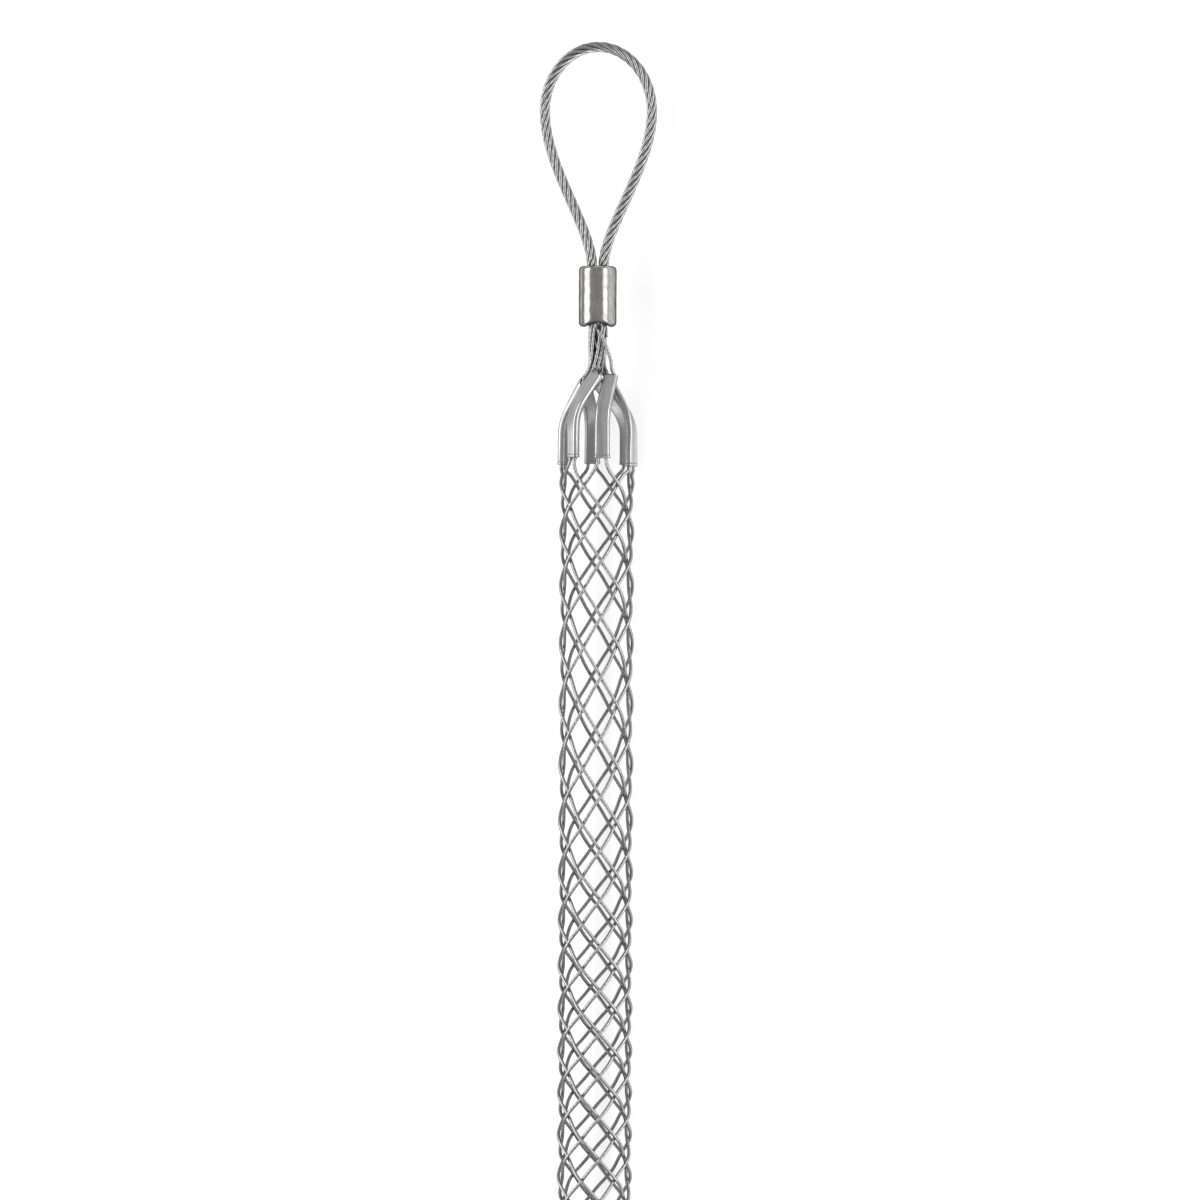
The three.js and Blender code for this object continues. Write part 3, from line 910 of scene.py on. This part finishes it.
@dataclass(frozen=True)
class Ferrule:
    """The swaged ferrule, one closed ring of rows round the eye's direction."""

    layout: GripLayout
    diameter: float = 14.1
    edge_radius: float = 1.6
    slot_depth: float = 8.0
    slot_play: float = 0.04
    slot_edge: float = 0.35
    bore_play: float = 0.06
    arch_span: float = 9.4
    arch_rise: float = 1.3
    arch_fade: float = 5.0
    seam_angle: float = 51.0
    seam_height: float = 0.09
    seam_width: float = 3.2
    dent: float = 0.035
    dent_waves: tuple[DentWave, ...] = (
        DentWave(turns=3, start=1.1, lean=0.35, along=0.72, lift=0.8, share=1.0),
        DentWave(turns=7, start=0.4, lean=-0.2, along=1.3, lift=0.0, share=0.5),
    )
    around: int = 240
    edge_steps: int = 9
    barrel_steps: int = 26
    lip_steps: int = 5

    def slot_reach(self, angles: Array) -> Array:
        """Work out the distance from the middle to the outline of the slot for two legs.

        On the flats it is the half thickness over the sine. Past them it is the outline of a circle that
        stands aside by c: c |cos| + sqrt(r^2 - c^2 sin^2).

        Args:
            angles: Directions from the middle.

        Returns:
            The distances.
        """
        layout = self.layout
        radius = layout.rope_radius + layout.strand.radius + self.slot_play
        aside = layout.leg_offset
        sine, cosine = np.abs(np.sin(angles)), np.abs(np.cos(angles))
        flat = radius / np.maximum(sine, 1e-9)
        round_end = aside * cosine + np.sqrt(np.maximum(radius**2 - (aside * sine) ** 2, 0.0))
        return np.where(flat * cosine <= aside, flat, round_end)

    def seam(self, angles: Array) -> Array:
        """Return the height of the two swaging seams: a bell curve on each of two opposite lines."""
        off = np.degrees(angles) - (90.0 - self.seam_angle)
        near = (off + 90.0) % 180.0 - 90.0
        return self.seam_height * np.exp(-((near / self.seam_width) ** 2))

    def dents(self, angles: Array, height: float) -> Array:
        """Return the dies' unevenness at a height: the sum of the dent waves."""
        return self.dent * sum(wave.depth(angles, height) for wave in self.dent_waves)

    def rows(self, angles: Array) -> list[tuple[Array | float, float, float]]:
        """Work out the profile's rows.

        Up the outside go the lower rounded edge, the barrel with its seams and the upper rounded edge.
        Inside, the upper end face turns down into the slot for two legs, which widens into the round bore
        and leaves through the lower end face.

        Args:
            angles: Directions from the middle.

        Returns:
            Each row's distance from the axis, its height, and its share of painted shade.
        """
        layout = self.layout
        radius, edge, length, lip = self.diameter / 2, self.edge_radius, layout.ferrule_length, self.slot_edge
        flat = radius - edge
        bore = layout.ring_radius + layout.strand.radius + self.bore_play
        slot = self.slot_reach(angles)
        ridge = radius + self.seam(angles)
        turn = np.radians(np.linspace(-90.0, 0.0, self.edge_steps))
        lips = np.radians(np.linspace(0.0, 90.0, self.lip_steps))
        barrel = np.linspace(edge, length - edge, self.barrel_steps)[1:-1]
        return [
            # Painted shade: full in the slot and the bore, fading out up the lower rounded edge.
            (bore + lip, 0.0, 1.0),
            *((flat + edge * np.cos(a), edge + edge * np.sin(a), -np.sin(a)) for a in turn),
            *((ridge + self.dents(angles, height), height, 0.0) for height in barrel),
            *((flat + edge * np.cos(a), length - edge - edge * np.sin(a), 0.0) for a in turn[::-1]),
            *((slot + lip * (1 - np.sin(a)), length - lip * (1 - np.cos(a)), np.sin(a)) for a in lips),
            (slot, length - self.slot_depth, 1.0),
            (bore, length - self.slot_depth - 2 * lip, 1.0),
            *((bore + lip * (1 - np.cos(a)), lip * (1 - np.sin(a)), 1.0) for a in lips),
        ]

    def surface(self) -> Surface:
        """Join the rows round the eye's direction.

        The lower end is scooped by an arc across the legs, faded out up the barrel.

        Returns:
            The closed surface.
        """
        angles = np.arange(self.around) * 2 * np.pi / self.around
        rows = [[np.broadcast_to(value, angles.shape) for value in row] for row in self.rows(angles)]
        reach, height, shade = np.array(rows).transpose(1, 0, 2)
        across, front = reach * np.cos(angles), reach * np.sin(angles)
        arc = (self.arch_span**2 / 4 + self.arch_rise**2) / (2 * self.arch_rise)
        inside = np.minimum(np.abs(across), self.arch_span / 2)
        scoop = self.arch_rise - arc + np.sqrt(arc**2 - inside**2)
        height = height + scoop * (1 - smoothstep(height / self.arch_fade))
        points = self.layout.in_eye_frame(across, front, self.layout.ferrule_base + height)
        return Surface(
            points=points.reshape(-1, 3),
            quads=grid_quads(*reach.shape, closed=True)[:, ::-1],
            skin=np.stack([across, front, height], axis=-1).reshape(-1, 3),
            painted_shade=shade.ravel(),
        )


# Finishes


def grey(level: float, warmth: float = 0.0) -> Color:
    """Return a grey, with red up and blue down by its warmth."""
    return (level * (1 + warmth), level, level * (1 - warmth), 1.0)


@dataclass(frozen=True)
class NodeBoard:
    """A shader node tree, to which nodes are added together with their inputs."""

    tree: bpy.types.NodeTree

    @staticmethod
    def of_material(material: bpy.types.Material) -> "NodeBoard":
        """Return a material's node tree, emptied."""
        material.use_nodes = True
        material.node_tree.nodes.clear()
        return NodeBoard(material.node_tree)

    def add(self, kind: str, inputs: dict[str | int, object], **settings: object) -> bpy.types.Node:
        """Add a node.

        Args:
            kind: The node's type, without its ShaderNode in front.
            inputs: For each input's name or number, a socket to link or a value to set.
            settings: The node's own properties.

        Returns:
            The node.
        """
        node = self.tree.nodes.new(f"ShaderNode{kind}")
        for name, value in settings.items():
            setattr(node, name, value)
        for name, value in inputs.items():
            if isinstance(value, Socket):
                self.tree.links.new(value, node.inputs[name])
            else:
                node.inputs[name].default_value = value
        return node

    def math(self, operation: str, a: object, b: object) -> Socket:
        """Add a Math node on two sockets or numbers, and return its result."""
        return self.add("Math", {0: a, 1: b}, operation=operation).outputs[0]

    def mix(self, share: object, a: object, b: object, blend: str = "MIX") -> Socket:
        """Add a Mix node on two colours, and return its result."""
        inputs = {"Factor": share, "A": a, "B": b}
        return self.add("Mix", inputs, data_type="RGBA", blend_type=blend).outputs["Result"]


@dataclass(frozen=True)
class EffectGroup:
    """A node group in the making, with the values that it is given."""

    board: NodeBoard
    given: bpy.types.NodeOutputs

    @staticmethod
    def started(name: str, inputs: dict[str, str], outputs: dict[str, str]) -> "EffectGroup":
        """Start a group.

        Args:
            name: Its name.
            inputs: The kind of each named input.
            outputs: The kind of each named output.

        Returns:
            The group with its sockets.
        """
        tree = bpy.data.node_groups.new(name, "ShaderNodeTree")
        for way, sockets in (("INPUT", inputs), ("OUTPUT", outputs)):
            for label, kind in sockets.items():
                tree.interface.new_socket(label, in_out=way, socket_type=f"NodeSocket{kind}")
        return EffectGroup(NodeBoard(tree), tree.nodes.new("NodeGroupInput").outputs)

    def finished(self, **results: Socket) -> bpy.types.NodeTree:
        """Link each named output to its result, and return the group's tree."""
        output = self.board.tree.nodes.new("NodeGroupOutput")
        for name, socket in results.items():
            self.board.tree.links.new(socket, output.inputs[name])
        return self.board.tree


def zinc_skin_group() -> bpy.types.NodeTree:
    """Build the node group of a galvanised skin.

    Two noises of unlike scale make cloudy patches and fine grain. The group puts out a colour between a
    light and a dark tone, a roughness round the given one, and a height for a bump.

    Returns:
        The group.
    """
    inputs = {"Vector": "Vector", "Patch Scale": "Float", "Grain Scale": "Float"}
    inputs |= {"Light": "Color", "Dark": "Color", "Roughness": "Float", "Roughness Spread": "Float"}
    outputs = {"Color": "Color", "Roughness": "Float", "Height": "Float"}
    group = EffectGroup.started("zinc_skin", inputs, outputs)
    board, given = group.board, group.given
    cloud = {"Vector": given["Vector"], "Scale": given["Patch Scale"], "Detail": 4.0, "Roughness": 0.62}
    speckle = {"Vector": given["Vector"], "Scale": given["Grain Scale"], "Detail": 2.0}
    patch = board.add("TexNoise", cloud).outputs["Fac"]
    grain = board.add("TexNoise", speckle).outputs["Fac"]
    spread = {"Value": patch, "From Min": 0.34, "From Max": 0.66}
    steep = board.add("MapRange", spread, interpolation_type="SMOOTHSTEP").outputs["Result"]
    cloudy, grainy = 0.7, 0.3
    both = board.math("ADD", board.math("MULTIPLY", steep, cloudy), board.math("MULTIPLY", grain, grainy))
    centred = board.math("SUBTRACT", both, 0.5)
    rough = board.math("MULTIPLY", centred, given["Roughness Spread"])
    return group.finished(
        Color=board.mix(both, given["Light"], given["Dark"]),
        Roughness=board.math("ADD", rough, given["Roughness"]),
        Height=both,
    )


def drawn_marks_group() -> bpy.types.NodeTree:
    """Build the node group of drawing marks: noise stretched along the piece.

    The vector's third part runs along the piece and is shrunk by the stretch, so that the noise becomes
    fine streaks. The group puts out a mask between 0 and 1 and a height.

    Returns:
        The group.
    """
    inputs = {"Vector": "Vector", "Scale": "Float", "Stretch": "Vector"}
    group = EffectGroup.started("drawn_marks", inputs, {"Mask": "Float", "Height": "Float"})
    board, given = group.board, group.given
    shrink = board.add("VectorMath", {0: given["Vector"], 1: given["Stretch"]}, operation="MULTIPLY")
    streaks = {"Vector": shrink.outputs["Vector"], "Scale": given["Scale"], "Detail": 3.0}
    noise = board.add("TexNoise", streaks).outputs["Fac"]
    mask = board.add("MapRange", {"Value": noise, "From Min": 0.3, "From Max": 0.7}).outputs["Result"]
    return group.finished(Mask=mask, Height=noise)


@dataclass(frozen=True)
class Effects:
    """The node groups that several finishes share."""

    zinc: bpy.types.NodeTree
    marks: bpy.types.NodeTree


@dataclass(frozen=True)
class MetalFinish:
    """A zinc or plated steel finish. Its scales are waves a metre, and its bump height is in millimetres."""

    name: str
    light: Color
    dark: Color
    painted_shade: Color
    roughness: float
    roughness_spread: float
    patch_scale: float
    mark_depth: float
    bump: float
    grain_scale: float = 2600.0
    mark_scale: float = 5200.0
    mark_stretch: tuple[float, float, float] = (1.0, 1.0, 0.04)
    mark_color: Color = grey(0.55)
    edge_tint: float = 0.08
    groove_roughness: float = 0.25
    bump_height: float = 0.02

    def material(self, effects: Effects) -> bpy.types.Material:
        """Build the finish from the shared effects.

        Args:
            effects: The node groups.

        Returns:
            The material.
        """
        made = bpy.data.materials.new(self.name)
        board = NodeBoard.of_material(made)
        skin = board.add("Attribute", {}, attribute_name="skin").outputs["Vector"]
        painted_shade = board.add("Attribute", {}, attribute_name="painted_shade").outputs["Fac"]
        tones = {"Light": self.light, "Dark": self.dark, "Roughness": self.roughness}
        tones |= {"Patch Scale": self.patch_scale, "Grain Scale": self.grain_scale}
        tones |= {"Vector": skin, "Roughness Spread": self.roughness_spread}
        zinc = board.add("Group", tones, node_tree=effects.zinc).outputs
        streaks = {"Vector": skin, "Scale": self.mark_scale, "Stretch": self.mark_stretch}
        marks = board.add("Group", streaks, node_tree=effects.marks).outputs
        depth = board.math("MULTIPLY", marks["Mask"], self.mark_depth)
        worn = board.mix(depth, zinc["Color"], self.mark_color, "MULTIPLY")
        dull = board.math("MULTIPLY", painted_shade, self.groove_roughness)
        height = board.math("ADD", zinc["Height"], marks["Height"])
        relief = {"Height": height, "Strength": self.bump, "Distance": self.bump_height * MM}
        steel = {
            "Metallic": 1.0,
            "Specular Tint": grey(self.edge_tint),
            # Painted shade: the base colour is drawn towards the finish's dark shade colour by the painted
            # shade attribute.
            "Base Color": board.mix(painted_shade, worn, self.painted_shade),
            "Roughness": board.math("ADD", zinc["Roughness"], dull),
            "Normal": board.add("Bump", relief).outputs["Normal"],
        }
        shader = board.add("BsdfPrincipled", steel)
        board.add("OutputMaterial", {"Surface": shader.outputs["BSDF"]})
        return made


# Each finish's darkest colour is the painted shade of its grooves, recesses and turned-away sides.
STRAND_FINISH = MetalFinish(
    name="galvanised_strand",
    light=grey(0.55),
    dark=grey(0.42),
    painted_shade=grey(0.11),
    roughness=0.2,
    roughness_spread=0.1,
    patch_scale=160.0,
    mark_depth=0.2,
    bump=0.2,
)
CORE_FINISH = MetalFinish(
    name="core_strand",
    light=grey(0.74),
    dark=grey(0.58),
    painted_shade=grey(0.22),
    roughness=0.34,
    roughness_spread=0.16,
    patch_scale=300.0,
    mark_depth=0.3,
    bump=0.4,
)
TUBE_FINISH = MetalFinish(
    name="flattened_tube",
    light=grey(0.80),
    dark=grey(0.64),
    painted_shade=grey(0.14),
    roughness=0.22,
    roughness_spread=0.14,
    patch_scale=190.0,
    grain_scale=1500.0,
    mark_scale=1000.0,
    mark_depth=0.6,
    bump=0.3,
    edge_tint=0.5,
)
FERRULE_FINISH = MetalFinish(
    name="plated_ferrule",
    light=grey(0.54, 0.015),
    dark=grey(0.38, 0.025),
    painted_shade=grey(0.20),
    roughness=0.17,
    roughness_spread=0.16,
    patch_scale=260.0,
    grain_scale=1100.0,
    mark_scale=900.0,
    mark_stretch=(1.0, 1.0, 0.35),
    mark_depth=0.4,
    bump=0.8,
    edge_tint=0.06,
)


# The grip


@dataclass
class PullingGrip:
    """Builds and dresses every piece of the grip."""

    layout: GripLayout
    frame: GripFrame
    effects: Effects

    def __post_init__(self) -> None:
        """Set out the sub-assemblies and their finishes."""
        self.tubes = EqualizerTubes(self.layout)
        self.rope = EyeRope(self.layout)
        self.neck = Neck(self.layout, self.tubes)
        self.mesh = WireMesh(self.layout, self.tubes)
        finishes = {
            Slot.STRAND: STRAND_FINISH,
            Slot.CORE: CORE_FINISH,
            Slot.TUBE: TUBE_FINISH,
            Slot.FERRULE: FERRULE_FINISH,
        }
        self.materials = {slot: finish.material(self.effects) for slot, finish in finishes.items()}

    def dress(self, name: str, surface: Surface, slot: Slot, node: str) -> None:
        """Turn a surface into a piece that stands for a CAD node.

        Args:
            name: Name of the piece.
            surface: Its surface.
            slot: Its material slot.
            node: The CAD node.
        """
        piece = surface.to_object(name, self.frame, self.materials[slot])
        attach(piece, BODY)
        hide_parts(node)
        LOG.info("%s: %d faces", name, len(surface.quads) + len(surface.triangles))

    def strand_end(self, number: int, side: Side) -> Route:
        """Join one strand end's stretches.

        Args:
            number: The strand, 0 to 5.
            side: The rope leg that the end comes from.

        Returns:
            The end from the ferrule through the neck, a tube and the mesh to its tail.
        """
        tube, tube_side = self.neck.holders()[self.neck.seat_of(number, side, self.rope)]
        neck = self.neck.strand(number, side, self.rope)
        return Route.joined([neck, self.tubes.strand(tube, tube_side), self.mesh.strand(tube, tube_side)])

    def build_strands(self) -> None:
        """Build the six strands from tail to tail."""
        sweep = WireStrand(self.layout.strand, self.layout.tube_rise + self.neck.bundle_start)
        for number in range(self.layout.strand.wires):
            left = self.strand_end(number, Side.LEFT).reversed()
            route = Route.joined([left, self.rope.strand(number), self.strand_end(number, Side.RIGHT)])
            name = f"strand_{number + 1}"
            self.dress(f"laid_{name}", sweep.surface(route), Slot.STRAND, name)

    def build_core(self) -> None:
        """Build the rope's core, which ends as a cut stub beside the strands of the right leg."""
        layout, neck = self.layout, self.neck
        line, _, _ = self.rope.line()
        stub = layout.ring_radius + neck.stub_step
        sweep = layout.eye_tilt - self.tubes.size.twist - layout.first_column + layout.seat_step
        back = sweep * neck.core_stub / layout.neck_length
        points = np.vstack(
            [
                layout.in_eye_frame(-layout.leg_offset, 0.0, layout.ferrule_top - neck.slot_depth),
                line,
                layout.in_eye_frame(layout.leg_offset, 0.0, layout.ferrule_base + neck.ring_above),
                layout.in_eye_frame(stub, 0.0, layout.ferrule_base),
                place(layout.eye_tilt + 90.0 - back, neck.stub_reach, layout.ferrule_base - neck.core_stub),
            ]
        )
        route = Route(points, np.tile(outward(layout.eye_tilt), (len(points), 1)))
        surface = WireStrand(StrandSize(diameter=1.0, lay=7.5)).surface(route)
        self.dress("core_strand", surface, Slot.CORE, "rope_core")

    def build_ferrule(self) -> None:
        """Build the swaged ferrule."""
        self.dress("ferrule", Ferrule(self.layout).surface(), Slot.FERRULE, "swage_ferrule")

    def flat_tube(self) -> FlatTube:
        """Return the sweep that the tubes and the sleeves share."""
        size = self.tubes.size
        return FlatTube(size.width, size.thickness(self.layout.strand), size.side, size.wall)

    def build_tubes(self) -> None:
        """Build the equalizer tubes, each with a rolled lip at its mouth and a crease above it.

        The lip's girth fades by a smooth step, and the crease is a bell curve over the same heights.
        """
        size = self.tubes.size
        lip = np.linspace(0.0, size.lip_length + 2 * size.crease_length, size.lip_stations)
        upper = np.linspace(lip[-1] + size.station_step, self.layout.tube_rise, size.stations)
        above = np.concatenate([lip, upper])
        past_lip = (above - size.lip_length) / size.crease_length
        creased = np.exp(-((2 * (past_lip - size.crease_place)) ** 2))
        lipped = 1 - smoothstep(past_lip + 0.5)
        girth = 1 + (size.lip_girth - 1) * lipped - (1 - size.crease_girth) * creased
        for tube in range(self.layout.tubes):
            line = self.tubes.centre_line(tube, above)
            broad = self.tubes.broad(above)
            # The crease's bell curve, times crease_shade, is painted shade in the crease.
            surface = self.flat_tube().surface(line, broad, girth, size.crease_shade * creased)
            self.dress(f"flat_tube_{tube + 1}", surface, Slot.TUBE, f"equalizer_tube_{tube + 1}")

    def build_sleeves(self) -> None:
        """Build the tail sleeves, straight flattened tubes on the last strand ends."""
        tail = self.mesh.heights()[-1]
        heights = np.linspace(tail - self.mesh.sleeve_length, tail, self.mesh.sleeve_stations)
        plain = np.ones(len(heights))
        for tube in range(self.layout.tubes):
            column = self.layout.column(tube) * plain
            line = Route(place(column, self.layout.tube_radius, heights), outward(column))
            surface = self.flat_tube().surface(line, plain, plain, 0 * plain)
            self.dress(f"flat_sleeve_{tube + 1}", surface, Slot.TUBE, f"tail_sleeve_{tube + 1}")


# Studio


@dataclass(frozen=True)
class SoftBox:
    """A plain rectangular lamp, given by its direction from the grip."""

    name: str
    angle: float
    distance: float
    width: float
    length: float
    radiance: float

    def build(self, target: Vector) -> None:
        """Hang the lamp at its angle from straight up towards +X.

        Args:
            target: The point that it faces.
        """
        light = bpy.data.lights.new(self.name, "AREA")
        light.shape = "RECTANGLE"
        light.size, light.size_y = self.width, self.length
        light.energy = self.radiance * np.pi * self.width * self.length
        lamp = bpy.data.objects.new(self.name, light)
        back, along = Vector(outward(self.angle).tolist()), Vector((0.0, 1.0, 0.0))
        turn = Matrix((along.cross(back), along, back)).transposed().to_4x4()
        lamp.matrix_world = Matrix.Translation(target + back * self.distance) @ turn
        lamp.visible_camera = False
        bpy.context.scene.collection.objects.link(lamp)


@dataclass(frozen=True)
class Studio:
    """Camera, floor, world and lamps."""

    layout: GripLayout
    view_height: float = 0.4482
    view_centre: float = 0.0221
    aim_aside: float = 0.0013
    lens: float = 200.0
    sensor: float = 36.0
    roll: float = 0.22
    clip: tuple[float, float] = (0.1, 20.0)
    floor_half: float = 4.0
    floor_color: Color = grey(0.44)
    floor_lift: float = 0.7
    world_level: float = 0.45
    lamps: tuple[SoftBox, ...] = (
        SoftBox("left_soft_box", angle=-46.0, distance=0.75, width=0.5, length=1.5, radiance=2.1),
        SoftBox("right_soft_box", angle=69.0, distance=0.75, width=0.36, length=1.5, radiance=2.1),
    )

    def build_camera(self, axis: Array) -> None:
        """Look square at the eye's plane through a long lens, with the frame's height as in the photo.

        Args:
            axis: A point of the grip's axis, in metres.
        """
        data = bpy.data.cameras.new("camera")
        data.type = "PERSP"
        data.lens, data.sensor_width = self.lens, self.sensor
        data.clip_start, data.clip_end = self.clip
        front = Vector(outward(self.layout.eye_tilt).tolist())
        right = Vector(outward(self.layout.eye_tilt + 90.0).tolist())
        up = Vector((0.0, 1.0, 0.0))
        target = Vector((axis[0], self.view_centre, axis[2])) + right * self.aim_aside
        eye = target + front * (self.view_height * self.lens / self.sensor)
        turn = Matrix((right, up, front)).transposed().to_4x4()
        camera = bpy.data.objects.new("camera", data)
        camera.matrix_world = Matrix.Translation(eye) @ turn @ Matrix.Rotation(np.radians(self.roll), 4, "Z")
        bpy.context.scene.collection.objects.link(camera)
        bpy.context.scene.camera = camera

    def build_floor(self) -> None:
        """Lay a pale floor that camera, glossy and transmitted rays see lifted to white."""
        mesh = bpy.data.meshes.new("floor")
        half = self.floor_half
        corners = [(-half, -half, 0.0), (half, -half, 0.0), (half, half, 0.0), (-half, half, 0.0)]
        mesh.from_pydata(corners, [], [(0, 1, 2, 3)])
        material = bpy.data.materials.new("floor")
        board = NodeBoard.of_material(material)
        rays = board.add("LightPath", {}).outputs
        seen = board.math("MAXIMUM", rays["Is Camera Ray"], rays["Is Glossy Ray"])
        seen = board.math("MAXIMUM", seen, rays["Is Transmission Ray"])
        glow = board.add("Emission", {"Strength": board.math("MULTIPLY", seen, self.floor_lift)})
        paint = board.add("BsdfDiffuse", {"Color": self.floor_color})
        both = board.add("AddShader", {0: paint.outputs["BSDF"], 1: glow.outputs["Emission"]})
        board.add("OutputMaterial", {"Surface": both.outputs["Shader"]})
        mesh.materials.append(material)
        floor = bpy.data.objects.new("floor", mesh)
        bpy.context.scene.collection.objects.link(floor)

    def build_light(self) -> None:
        """Set an even dim world and hang the soft boxes on both sides of the grip."""
        world = bpy.data.worlds.new("studio")
        world.use_nodes = True
        background = world.node_tree.nodes["Background"]
        background.inputs["Color"].default_value = grey(1.0)
        background.inputs["Strength"].default_value = self.world_level
        bpy.context.scene.world = world
        for lamp in self.lamps:
            lamp.build(Vector((0.0, self.view_centre, 0.0)))


def main() -> None:
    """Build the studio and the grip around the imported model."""
    logging.basicConfig(level=logging.INFO, format="%(name)s %(message)s")
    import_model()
    layout = GripLayout()
    frame = GripFrame.from_ferrule(layout)
    studio = Studio(layout)
    studio.build_camera(frame.origin)
    studio.build_floor()
    studio.build_light()
    LOG.info("studio built")
    grip = PullingGrip(layout, frame, Effects(zinc_skin_group(), drawn_marks_group()))
    grip.build_strands()
    grip.build_core()
    grip.build_ferrule()
    grip.build_tubes()
    grip.build_sleeves()
    bpy.context.scene.view_settings.view_transform = "Standard"
    bpy.context.view_layer.update()


if __name__ == "__main__":
    main()
